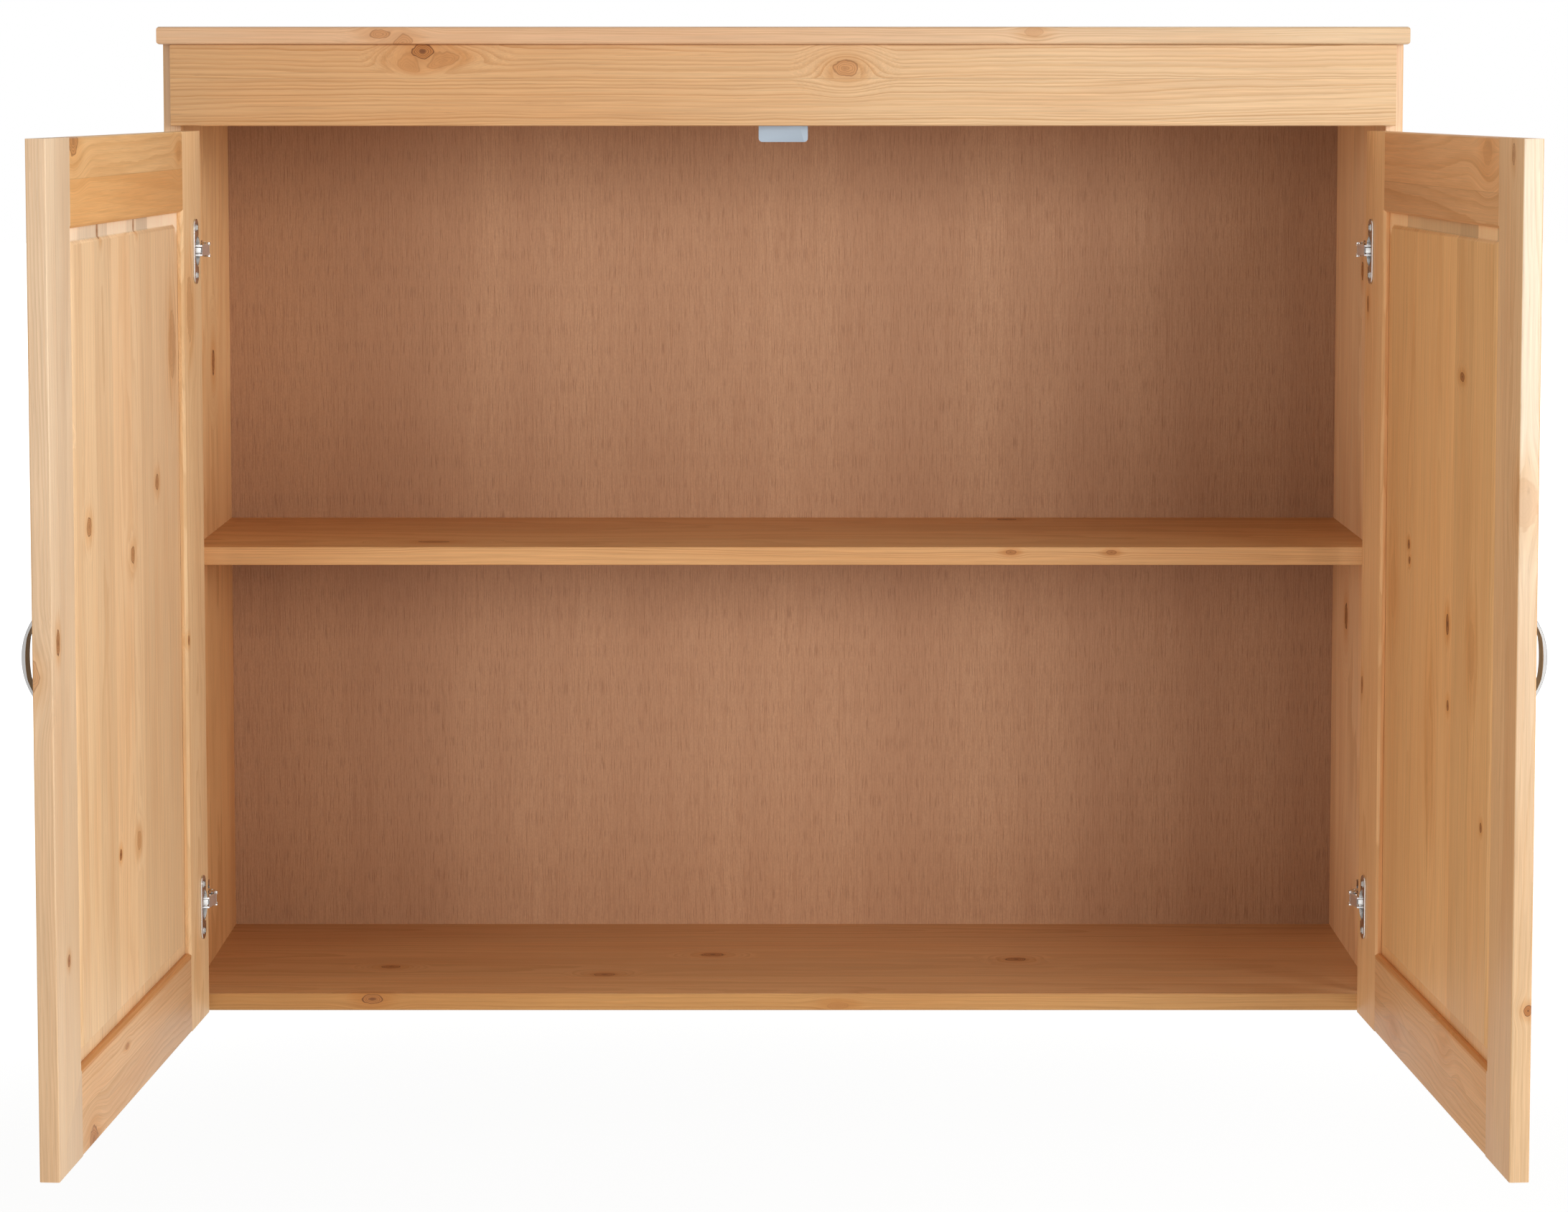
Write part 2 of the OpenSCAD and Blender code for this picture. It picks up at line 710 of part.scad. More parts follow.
// Handles, drawn with x up the door and y away from its outer face
module on_handle() {
  translate([door_w - handle_in, -door_t, door_mid_z]) rotate([180, 0, 0]) rotate([0, 90, 0]) children();
}
module handle_screw_set() {
  on_handle() for (x = [-1, 1])
    translate([x * pad_screw_z, pad_t, 0]) rotate([0, 0, 90]) screw_x(pad_screw_r, cup_screw_l + pad_t, head_r, head_t);
}
module bow() {
  difference() {
    translate([0, bow_h - bow_r, 0]) rotate_extrude($fn = 96) polygon([
      [0, -bow_w / 2], [bow_r - bow_edge, -bow_w / 2], [bow_r, bow_edge - bow_w / 2],
      [bow_r, bow_w / 2 - bow_edge], [bow_r - bow_edge, bow_w / 2], [0, bow_w / 2]
    ]);
    translate([0, 0, -bow_w]) linear_extrude(2 * bow_w) intersection() {
      translate([0, bow_h - bow_r]) circle(bow_r - bow_end_t, $fn = 96);
      translate([0, bow_h - bow_mid_t - bow_mid_r]) circle(bow_mid_r, $fn = 192);
    }
    translate([-bow_r - over, -2 * bow_r, -bow_w]) cube([2 * (bow_r + over), 2 * bow_r, 2 * bow_w]);
  }
}
module handle(s) {
  color(pewter) on_door(s) difference() {
    on_handle() {
      bow();
      for (end = [0, 1]) mirror([end, 0, 0]) {
        translate([pad_screw_z, 0, 0]) rotate([-90, 0, 0]) cylinder(r = pad_r, h = pad_t);
        translate([bow_l / 2 - pad_lap, 0, -pad_r]) cube([pad_l + pad_lap, pad_t, 2 * pad_r]);
      }
    }
    handle_screw_set();
  }
}
module handle_screws(s) {
  color(steel) on_door(s) handle_screw_set();
}

side_panel(LEFT);  // left_side_panel
side_panel(RIGHT);  // right_side_panel
top_board();
bottom_board();
shelf();
frieze();
hanging_rail();
back_panel();
case_dowels();
frieze_dowels();
back_panel_nails();
door_stop_plate();
door_stop_screws();
hinge_bases(LEFT);  // left_hinge_bases
hinge_base_screws(LEFT);  // left_hinge_base_screws
hinge_arms(LEFT);  // left_hinge_arms
hinge_arm_screws(LEFT);  // left_hinge_arm_screws
hinge_arm_pins(LEFT);  // left_hinge_arm_pins
hinge_bases(RIGHT);  // right_hinge_bases
hinge_base_screws(RIGHT);  // right_hinge_base_screws
hinge_arms(RIGHT);  // right_hinge_arms
hinge_arm_screws(RIGHT);  // right_hinge_arm_screws
hinge_arm_pins(RIGHT);  // right_hinge_arm_pins
outer_links(LEFT);  // left_outer_links
inner_links(LEFT);  // left_inner_links
outer_links(RIGHT);  // right_outer_links
inner_links(RIGHT);  // right_inner_links
hinge_stile(LEFT);  // left_hinge_stile
free_stile(LEFT);  // left_free_stile
top_rail(LEFT);  // left_top_rail
bottom_rail(LEFT);  // left_bottom_rail
door_panel(LEFT);  // left_door_panel
hinge_cups(LEFT);  // left_hinge_cups
hinge_cup_pins(LEFT);  // left_hinge_cup_pins
hinge_cup_screws(LEFT);  // left_hinge_cup_screws
handle(LEFT);  // left_handle
handle_screws(LEFT);  // left_handle_screws
hinge_stile(RIGHT);  // right_hinge_stile
free_stile(RIGHT);  // right_free_stile
top_rail(RIGHT);  // right_top_rail
bottom_rail(RIGHT);  // right_bottom_rail
door_panel(RIGHT);  // right_door_panel
hinge_cups(RIGHT);  // right_hinge_cups
hinge_cup_pins(RIGHT);  // right_hinge_cup_pins
hinge_cup_screws(RIGHT);  // right_hinge_cup_screws
handle(RIGHT);  // right_handle
handle_screws(RIGHT);  // right_handle_screws
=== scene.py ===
# %% [markdown]
# # A pine wall cupboard with two framed doors
# The cupboard hangs open and is seen square on, from about the height of its top board. The
# imported model already has every board, dowel, hinge and handle in its right place, so this
# lesson only gives the pieces their looks. The frame comes first. Nothing that is made here
# may stand out of it.

# %% Load the frame
import json
import math

import bmesh
import bpy
from mathutils import Matrix, Vector

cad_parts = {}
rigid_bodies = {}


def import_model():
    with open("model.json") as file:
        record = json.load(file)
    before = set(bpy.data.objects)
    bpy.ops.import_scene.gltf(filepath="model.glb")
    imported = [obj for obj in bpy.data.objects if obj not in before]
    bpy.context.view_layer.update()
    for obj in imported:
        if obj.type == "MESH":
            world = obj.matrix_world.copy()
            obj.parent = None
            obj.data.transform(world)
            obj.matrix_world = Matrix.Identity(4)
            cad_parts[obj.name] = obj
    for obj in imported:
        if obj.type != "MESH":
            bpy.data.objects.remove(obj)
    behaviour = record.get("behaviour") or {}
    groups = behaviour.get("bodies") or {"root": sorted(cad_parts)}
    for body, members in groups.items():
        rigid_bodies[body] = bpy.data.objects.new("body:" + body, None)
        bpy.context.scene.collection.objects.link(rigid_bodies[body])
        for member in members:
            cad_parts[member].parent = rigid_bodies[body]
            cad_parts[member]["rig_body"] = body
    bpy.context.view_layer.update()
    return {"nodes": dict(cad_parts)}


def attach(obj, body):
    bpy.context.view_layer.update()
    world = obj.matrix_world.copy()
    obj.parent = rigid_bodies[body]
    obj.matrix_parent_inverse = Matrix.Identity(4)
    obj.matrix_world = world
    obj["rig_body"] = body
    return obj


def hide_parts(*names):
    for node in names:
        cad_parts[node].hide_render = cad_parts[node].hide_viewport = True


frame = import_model()

# %% [markdown]
# ## Small helpers for node trees
# A material and a Geometry Nodes tree are built the same way: add a node, set it, and wire its
# inputs. One helper does that for any tree, and short ones write a sum, a smooth step, a blend of
# two colours or a noise as one call, so that the trees below read like the rules they stand for.

# %% Nodes and their inputs
def wire(tree, made, inputs):
    """Links or sets a node's inputs, each given by its name or its number."""
    for key, value in inputs.items():
        if isinstance(value, bpy.types.NodeSocket):
            tree.links.new(value, made.inputs[key])
        else:
            made.inputs[key].default_value = value


def add_node(tree, kind, inputs=None, **settings):
    made = tree.nodes.new(kind)
    for name, value in settings.items():
        setattr(made, name, value)
    wire(tree, made, inputs or {})
    return made


# %% Sums and vectors
def calc(tree, operation, *values, clamp=False):
    return add_node(tree, "ShaderNodeMath", dict(enumerate(values)),
                    operation=operation, use_clamp=clamp).outputs[0]


def vector_calc(tree, operation, *values):
    made = add_node(tree, "ShaderNodeVectorMath", dict(enumerate(values)), operation=operation)
    return made.outputs["Value" if operation == "LENGTH" else "Vector"]


def combine(tree, x=0.0, y=0.0, z=0.0):
    return add_node(tree, "ShaderNodeCombineXYZ", {0: x, 1: y, 2: z}).outputs[0]


def split(tree, vector):
    return add_node(tree, "ShaderNodeSeparateXYZ", {0: vector}).outputs


def split_color(tree, color):
    return add_node(tree, "ShaderNodeSeparateColor", {0: color}).outputs


# %% Steps, colours and noises
def step(tree, value, low, high, out_low=0.0, out_high=1.0):
    """A smooth step from out_low to out_high as the value goes from low to high."""
    return add_node(tree, "ShaderNodeMapRange", {
        "Value": value, "From Min": low, "From Max": high, "To Min": out_low, "To Max": out_high,
    }, interpolation_type="SMOOTHSTEP").outputs["Result"]


def blend(tree, factor, first, second, mode="MIX"):
    """A colour between two colours."""
    return add_node(tree, "ShaderNodeMix", {0: factor, 6: first, 7: second},
                    data_type="RGBA", blend_type=mode).outputs[2]


def tinted(tree, color, tone):
    return blend(tree, 1.0, color, tone, "MULTIPLY")


def noise(tree, place, scale, detail=2.0, rough=0.5, kind="3D", out="Fac"):
    key = "W" if kind == "1D" else "Vector"
    return add_node(tree, "ShaderNodeTexNoise", {
        key: place, "Scale": scale, "Detail": detail, "Roughness": rough,
    }, noise_dimensions=kind).outputs[out]


def stretched_noise(tree, place, stretch, detail=2.0, rough=0.5):
    """Noise of scale 1 in a place that is stretched, so that it runs long where stretch is small."""
    return noise(tree, vector_calc(tree, "MULTIPLY", place, stretch), 1.0, detail, rough)


def chance(tree, number):
    return add_node(tree, "ShaderNodeTexWhiteNoise", {"W": number}, noise_dimensions="1D").outputs


# %% Groups with named sockets
def group_tree(name, kind, inputs, outputs):
    """An empty group with named sockets, its input node and its output node."""
    tree = bpy.data.node_groups.new(name, kind)
    for direction, sockets in (("INPUT", inputs), ("OUTPUT", outputs)):
        for title, kind_of_value, *default in sockets:
            socket = tree.interface.new_socket(
                title, in_out=direction, socket_type="NodeSocket" + kind_of_value)
            if default:
                socket.default_value = default[0]
    return tree, tree.nodes.new("NodeGroupInput"), tree.nodes.new("NodeGroupOutput")


# %% [markdown]
# ## Small helpers for materials and objects
# Every finish is a Principled BSDF with a colour, a roughness and a little bump, and every new
# piece has to be linked to the scene before it shows. Both are written once here.

# %% Material and object helpers
def new_material(name):
    made = bpy.data.materials.new(name)
    made.use_nodes = True
    return made, made.node_tree, made.node_tree.nodes["Principled BSDF"]


def bump(tree, height, strength, distance):
    return add_node(tree, "ShaderNodeBump", {
        "Height": height, "Strength": strength, "Distance": distance}).outputs["Normal"]


def add_object(name, data):
    made = bpy.data.objects.new(name, data)
    bpy.context.scene.collection.objects.link(made)
    return made


# %% [markdown]
# ## Where a board's grain runs
# Wood is solid all through, so its pattern is worked out from a point inside the board and not
# from a flat picture. Each board gets three distances: along the grain, across its face and
# through its thickness. The case is measured from the middle of its underside, and each door
# from the corner of its own hinge edge, turned back by the angle at which the doors stand open,
# so that marks on a door can be placed in the door's own measure.

# %% Places in the case and in the doors
CASE_ORIGIN = Vector((0, 0.263, 0.757))
OPEN_ANGLE = math.radians(93.6)
HINGE_CORNER = Vector((-0.4679, -0.0075, 0))
MIRROR = {"left": 1, "right": -1}


def case_place(tree):
    coords = add_node(tree, "ShaderNodeTexCoord").outputs
    mapping = add_node(tree, "ShaderNodeMapping", {"Vector": coords["Object"], "Location": CASE_ORIGIN})
    return mapping.outputs[0], coords


def door_place(tree, side):
    """Distances from the hinge edge, from the inner face (outwards is negative) and up the door."""
    turn = Matrix.Rotation(OPEN_ANGLE, 3, "Z")
    coords = add_node(tree, "ShaderNodeTexCoord").outputs
    mapping = add_node(tree, "ShaderNodeMapping", {
        "Vector": coords["Object"], "Scale": (MIRROR[side], 1, 1),
        "Rotation": turn.to_euler(), "Location": turn @ (CASE_ORIGIN - HINGE_CORNER)})
    return mapping.outputs[0], coords


def board_place(tree, side, order):
    """The place as (along, across, through) for an order such as "zxy", and where it is end grain."""
    mapped, coords = door_place(tree, side) if side else case_place(tree)
    parts = split(tree, mapped)
    place = combine(tree, *(parts["xyz".index(axis)] for axis in order))
    if side and order[0] != "z":
        return place, 0.0  # a rail's ends are hidden between the stiles
    facing = split(tree, coords["Normal"])["xyz".index(order[0])]
    return place, step(tree, calc(tree, "ABSOLUTE", facing), 0.35, 0.9)


# %% [markdown]
# ## A knot in pine
# A branch grew through the trunk there: a small round core with its own tight rings, darker and
# redder than the wood, and the grain of the board flows round it. A group does both for one
# knot. It bends the place that the rings will be drawn from, and it hands on three marks: the
# core, the rings in the core, and the warm stain about it. Groups are chained, one per knot, so
# a board can have as many knots as the real one shows.

# %% The knot group
knot_tree, knot_in, knot_out = group_tree("pine_knot", "ShaderNodeTree", [
    ("Flow", "Vector"), ("Marks", "Vector"), ("Centre", "Vector"), ("Radii", "Vector"),
    ("Dark", "Float", 1.0),
], [("Flow", "Vector"), ("Marks", "Vector")])


def build_knot_tree():
    tree, given = knot_tree, knot_in.outputs
    flow, dark = given["Flow"], given["Dark"]
    # how far the place is from the knot, in radii of the knot
    rel = vector_calc(tree, "SUBTRACT", flow, given["Centre"])
    far = vector_calc(tree, "LENGTH", vector_calc(tree, "DIVIDE", rel, given["Radii"]))
    uneven = calc(tree, "ADD", far, calc(tree, "MULTIPLY_ADD", noise(tree, flow, 170, 1.0), 0.5, -0.25))
    # the grain bends round it
    bend = step(tree, far, 0.4, 4.6, 0.88, 0.0)
    push = vector_calc(tree, "MULTIPLY", rel, combine(tree, 0.0, bend, bend))
    tree.links.new(vector_calc(tree, "SUBTRACT", flow, push), knot_out.inputs["Flow"])
    # the core, its dark lines and the stain about it
    inside = step(tree, uneven, 0.88, 1.04, 1.0, 0.0)
    wave = calc(tree, "MULTIPLY_ADD", calc(tree, "SINE", calc(tree, "MULTIPLY", uneven, 30.0)), 0.5, 0.5)
    rings = calc(tree, "MULTIPLY", calc(tree, "MULTIPLY", inside, step(tree, wave, 0.55, 1.0)), 0.6)
    from_rim = calc(tree, "ABSOLUTE", calc(tree, "SUBTRACT", uneven, 0.95))
    rim = step(tree, from_rim, 0.0, 0.09, 0.9, 0.0)
    heart = calc(tree, "MULTIPLY", step(tree, uneven, 0.1, 0.4, 0.9, 0.0), dark)
    lines = calc(tree, "MAXIMUM", calc(tree, "MAXIMUM", rings, rim), heart)
    lines = calc(tree, "MULTIPLY", lines, step(tree, dark, 0.1, 0.85))
    warmth = calc(tree, "MULTIPLY_ADD", dark, 0.3, 0.3)
    stain = calc(tree, "MULTIPLY", step(tree, uneven, 0.7, 3.0, 1.0, 0.0), warmth)
    marks = combine(tree, calc(tree, "MULTIPLY", inside, dark), lines, stain)
    tree.links.new(vector_calc(tree, "MAXIMUM", given["Marks"], marks), knot_out.inputs["Marks"])


build_knot_tree()
print("knot group has", len(knot_tree.nodes), "nodes")

# %% [markdown]
# ## Pine
# Every board is glued up from staves, and each stave is a piece of another tree. Inside a stave
# the rings are circles round a heart that lies somewhere behind the face, which gives straight
# lines near the edges and arches in the middle, as sawn pine has. Slow noise lets the rings
# wander, and the taper of the trunk closes the arches. All of it is one group, so that every
# board in the cupboard is the same wood.

# %% Sockets of the pine group
pine_tree, pine_in, pine_out = group_tree("pine_wood", "ShaderNodeTree", [
    ("Flow", "Vector"), ("Marks", "Vector"), ("End grain", "Float", 0.0), ("Margin", "Float", 0.0),
    ("Stave number", "Float", 0.0), ("Stave centre", "Float", 0.0), ("Seam distance", "Float", 1.0),
    ("Seed", "Float", 1.0), ("Ring", "Float", 0.003), ("Heart", "Float", 0.05), ("Lines", "Float", 0.6),
    ("Tints", "Float", 0.1), ("Wander", "Float", 0.026), ("Tone", "Color"),
], [("Color", "Color"), ("Height", "Float"), ("Roughness", "Float")])
print(pine_tree.name, "has", len(pine_tree.interface.items_tree), "sockets")


# %% The rings
def trunk_radius(tree, given, flow, luck, slow):
    """How far the place is from the heart of the tree that its stave was cut from."""
    across = calc(tree, "ADD", calc(tree, "SUBTRACT", flow[1], given["Stave centre"]),
                  calc(tree, "MULTIPLY_ADD", luck[0], 0.12, -0.06))
    depth = calc(tree, "MULTIPLY", given["Heart"], calc(tree, "ADD", luck[1], 0.4))
    through = calc(tree, "ADD", flow[2], depth)
    wander = split_color(tree, noise(tree, slow, 1.6, 2.0, 0.45, out="Color"))
    across = calc(tree, "MULTIPLY_ADD", calc(tree, "SUBTRACT", wander[0], 0.5), given["Wander"], across)
    through = calc(tree, "MULTIPLY_ADD", calc(tree, "SUBTRACT", wander[1], 0.5), given["Wander"], through)
    squares = (calc(tree, "MULTIPLY", side, side) for side in (across, through))
    return calc(tree, "SQRT", calc(tree, "ADD", *squares))


def late_wood(tree, given, radius, stain):
    """The thin dark line at the end of each year's ring, of uneven width and strength."""
    uneven = calc(tree, "MULTIPLY", noise(tree, radius, 90.0, 1.0, kind="1D"), 2.6)
    growth = calc(tree, "ADD", calc(tree, "DIVIDE", radius, given["Ring"]), uneven)
    year = calc(tree, "FRACT", growth)
    late = calc(tree, "MULTIPLY", step(tree, year, 0.3, 0.92), step(tree, year, 0.93, 1.0, 1.0, 0.0))
    strong = chance(tree, calc(tree, "FLOOR", growth))["Value"]
    late = calc(tree, "MULTIPLY", late, calc(tree, "MULTIPLY_ADD", strong, 0.65, 0.35))
    near_knot = calc(tree, "MULTIPLY_ADD", stain, 0.8, given["Lines"])
    weight = calc(tree, "MULTIPLY_ADD", given["End grain"], 1.1, near_knot)
    return calc(tree, "MULTIPLY", late, weight, clamp=True)


# %% [markdown]
# ## From rings to the look of a board
# Each ring goes from pale early wood to the darker line of late wood. Fine fibres and short
# resin streaks run along the grain, some patches and some staves are warmer than others, and a
# glue seam is a thin dark line. What only makes the wood lighter or darker is multiplied up in
# one value, so that the colours themselves stay few.

# %% The pine group
PALE = (0.80, 0.53, 0.29, 1)
LATE = (0.56, 0.30, 0.12, 1)
WARM = (0.70, 0.40, 0.19, 1)
STAIN_AND_SHADE = (0.64, 0.30, 0.095, 1)
KNOT_BROWN = (0.46, 0.185, 0.055, 1)
KNOT_LINE = (0.12, 0.04, 0.015, 1)
MARGIN_PALE = (0.78, 0.62, 0.44, 1)
SEAM_WIDTH = 0.0005


def build_pine_tree():
    tree, given = pine_tree, pine_in.outputs
    flow, marks = split(tree, given["Flow"]), split(tree, given["Marks"])
    luck = split_color(tree, chance(tree, calc(tree, "ADD", given["Stave number"], given["Seed"]))["Color"])
    along = calc(tree, "MULTIPLY_ADD", luck[2], 7.0, flow[0])
    slow = combine(tree, calc(tree, "MULTIPLY", along, 1.5), calc(tree, "MULTIPLY", flow[1], 9.0),
                   calc(tree, "MULTIPLY_ADD", flow[2], 9.0, given["Seed"]))
    # the taper of the trunk, and small waves along the grain
    radius = calc(tree, "MULTIPLY_ADD", along, 0.006, trunk_radius(tree, given, flow, luck, slow))
    ripple = calc(tree, "SUBTRACT", stretched_noise(tree, given["Flow"], (28.0, 90.0, 90.0)), 0.5)
    swing = calc(tree, "MULTIPLY_ADD", given["Wander"], 0.07, 0.0006)
    radius = calc(tree, "MULTIPLY_ADD", ripple, swing, radius)
    late = late_wood(tree, given, radius, marks[2])
    # what runs along the grain
    fibre = stretched_noise(tree, given["Flow"], (10.0, 620.0, 620.0), 3.0, 0.6)
    finest = stretched_noise(tree, given["Flow"], (26.0, 2300.0, 2300.0), 1.0)
    streak = step(tree, stretched_noise(tree, given["Flow"], (55.0, 1500.0, 1500.0), 1.0), 0.66, 0.82)
    seam = step(tree, given["Seam distance"], 0.0, SEAM_WIDTH, 1.0, 0.0)
    # colours
    color = blend(tree, late, PALE, LATE)
    color = blend(tree, step(tree, noise(tree, slow, 3.4), 0.35, 0.85, 0.0, 0.6), color, WARM)
    warm_stave = calc(tree, "MULTIPLY", step(tree, luck[1], 0.35, 1.0),
                      calc(tree, "MULTIPLY", given["Tints"], 1.8), clamp=True)
    color = blend(tree, warm_stave, color, WARM)
    # the warm stain round the knots, and the painted shade of a rail's shade band
    color = blend(tree, marks[2], color, STAIN_AND_SHADE)
    color = blend(tree, given["Margin"], color, MARGIN_PALE)
    # light and dark: each value, how strongly it counts, and the level without it
    stave_light = calc(tree, "MULTIPLY", calc(tree, "SUBTRACT", luck[2], 0.5), given["Tints"])
    light = calc(tree, "ADD", stave_light, 1.0)
    margin_luck = calc(tree, "MULTIPLY_ADD", luck[0], 0.7, -0.32)
    for value, strength, level in (
            (fibre, 0.36, 0.82), (finest, 0.3, 0.85), (streak, -0.14, 1.0), (seam, -0.16, 1.0),
            (given["End grain"], -0.16, 1.0), (given["Margin"], margin_luck, 1.0)):
        light = calc(tree, "MULTIPLY", light, calc(tree, "MULTIPLY_ADD", value, strength, level))
    shade = add_node(tree, "ShaderNodeCombineColor", {0: light, 1: light, 2: light}).outputs[0]
    color = tinted(tree, tinted(tree, color, shade), given["Tone"])
    color = blend(tree, marks[1], blend(tree, marks[0], color, KNOT_BROWN), KNOT_LINE)
    height = calc(tree, "ADD", calc(tree, "MULTIPLY", fibre, 0.5), calc(tree, "MULTIPLY", late, 0.35))
    wire(tree, pine_out, {
        "Color": color, "Height": calc(tree, "SUBTRACT", height, calc(tree, "MULTIPLY", seam, 0.5)),
        "Roughness": calc(tree, "MULTIPLY_ADD", fibre, 0.14, 0.42)})


build_pine_tree()
print("pine group has", len(pine_tree.nodes), "nodes")

# %% [markdown]
# ## Staves, tones and faces
# A board knows at each place which stave it is in and how far the next glue seam is. Its tone is
# one colour, or goes from one to another along the board, and is partly the wood's own colour and
# partly painted light and shade. The narrow front edges get a tone of their own, with a painted
# highlight up the right door's free edge and painted shade on the left side panel's front edge,
# and the outer faces, which face away from the camera, share one plain tone. The narrow front
# edges get a tone of their own, as the photograph shows them, and the outer faces, which it
# doesn't show, share one.

# %% Staves and the panels' margins
END_STAVE = 0.06
PANEL_MIDDLE = -0.007
PANEL_MARGIN_DEPTH = (0.0021, 0.0030)
PANEL_MARGIN_START = (0.636, 0.642)


def stave_values(tree, across, seams, shifts):
    """The number and the middle of the stave at this place, and how far the next seam is."""
    edges = [seams[0] - END_STAVE, *seams, seams[-1] + END_STAVE] if seams else [-1.0, 1.0]
    middles = [(low + high) / 2 for low, high in zip(edges, edges[1:])]
    if shifts:
        middles = [middle + moved for middle, moved in zip(middles, shifts)]
    number, centre, near = 0.0, middles[0], 1.0
    for i, seam in enumerate(seams):
        past = calc(tree, "GREATER_THAN", across, seam)
        number = calc(tree, "ADD", past, number)
        centre = calc(tree, "MULTIPLY_ADD", past, middles[i + 1] - middles[i], centre)
        near = calc(tree, "MINIMUM", near, calc(tree, "ABSOLUTE", calc(tree, "SUBTRACT", across, seam)))
    return number, centre, near


def upper_margin(tree, along, through):
    """How far a place of a door panel lies in the flat margin above its field, on the inner face."""
    depth = calc(tree, "SUBTRACT", through, PANEL_MIDDLE)
    flat = step(tree, depth, *PANEL_MARGIN_DEPTH, 0.7, 0.0)
    inner = calc(tree, "MULTIPLY", flat, calc(tree, "GREATER_THAN", depth, 0.0))
    return calc(tree, "MULTIPLY", inner, step(tree, along, *PANEL_MARGIN_START))


# %% Tones
OUTER_TONE = (0.96, 0.89, 0.79, 1)
FRAME_OUTSIDE = (-0.0137, -0.0127)
PANEL_OUTSIDE = (-0.0080, -0.0060)
CASE_OUTSIDE = (0.4965, 0.4975)


def along_tone_and_light(tree, along, tone):
    """One tone, or two with the places along the board between which one turns into the other. The later tone
    is always the paler one, and paints light that grows towards the right of the case and up the door boards
    and the left side panel.
    """
    if len(tone) == 3:
        return (*tone, 1)
    first, last, start, stop = tone
    return blend(tree, step(tree, along, start, stop), (*first, 1), (*last, 1))


def edge_tone_and_light(tree, along, across, tone, edge):
    """The board's tone, changed on its narrow front edge, which lies past a place across the grain. On the
    right door's free edge this paints a highlight that grows towards the top, and on the left side panel's
    front edge it paints shade.
    """
    start, stop, first, *last = edge
    shade = (*first, 1)
    if last:
        shade = blend(tree, step(tree, along, 0.1, 0.6), shade, (*last[0], 1))
    return blend(tree, step(tree, across, start, stop), tone, tinted(tree, tone, shade))


def outer_tone(tree, through, tone, side, panel):
    """One tone for the outer faces, which the photograph doesn't show, so that all of them match."""
    if side:
        outside = step(tree, through, *(PANEL_OUTSIDE if panel else FRAME_OUTSIDE), 1.0, 0.0)
    else:
        outside = step(tree, calc(tree, "ABSOLUTE", through), *CASE_OUTSIDE)
    return blend(tree, outside, tone, OUTER_TONE)


# %% [markdown]
# ## One finish for each board
# The boards differ in how they were cut, so a table says for each one where its grain runs,
# where its seams are, how coarse its rings are and where its knots sit. A knot is (along, across,
# radius, how much longer it is along the grain, how dark), and for a knot on an edge also the
# place and the reach through the board. A shade band is where painted shade, in the warm stain
# colour of the knots, starts along the top edge of a bottom rail. The finish is a satin lacquer:
# a fairly rough surface whose gloss varies a little with the fibres.

# %% The board finish
def pine(name, order, seams=(), seed=1.0, ring=0.003, heart=0.05, lines=0.6, tints=0.1, wander=0.026,
         shifts=(), knots=(), side=None, panel=False, shade_band=None, edge=None, tone=(1, 1, 1)):
    made, tree, shader = new_material(name)
    place, end = board_place(tree, side, order)
    along, across, through = split(tree, place)
    number, centre, near = stave_values(tree, across, seams, shifts)
    flow, marks = place, (0.0, 0.0, 0.0)
    # a shade band paints shade along the top edge of a bottom rail, in the stain colour
    if shade_band:
        marks = combine(tree, 0.0, 0.0, calc(tree, "MULTIPLY", step(tree, across, shade_band, shade_band + 0.0008), 0.75))
    for knot_along, knot_across, radius, stretch, dark, *deep in knots:
        depth, reach = deep or (0.0, 1.0)
        bent = add_node(tree, "ShaderNodeGroup", node_tree=knot_tree)
        wire(tree, bent, {"Flow": flow, "Marks": marks, "Centre": (knot_along, knot_across, depth),
                          "Radii": (radius * stretch, radius, reach), "Dark": dark})
        flow, marks = bent.outputs["Flow"], bent.outputs["Marks"]
    tone = along_tone_and_light(tree, along, tone)
    if edge:
        tone = edge_tone_and_light(tree, along, across, tone, edge)
    if side or order == "zyx":
        tone = outer_tone(tree, through, tone, side, panel)
    wood = add_node(tree, "ShaderNodeGroup", node_tree=pine_tree)
    wire(tree, wood, {
        "Flow": flow, "Marks": marks, "End grain": end,
        "Margin": upper_margin(tree, along, through) if panel else 0.0,
        "Stave number": number, "Stave centre": centre, "Seam distance": near, "Seed": seed,
        "Ring": ring, "Heart": heart, "Lines": lines, "Tints": tints, "Wander": wander, "Tone": tone})
    wire(tree, shader, {
        "Base Color": wood.outputs["Color"], "Roughness": wood.outputs["Roughness"],
        "Normal": bump(tree, wood.outputs["Height"], 0.25, 0.0003), "Specular IOR Level": 0.3})
    return made
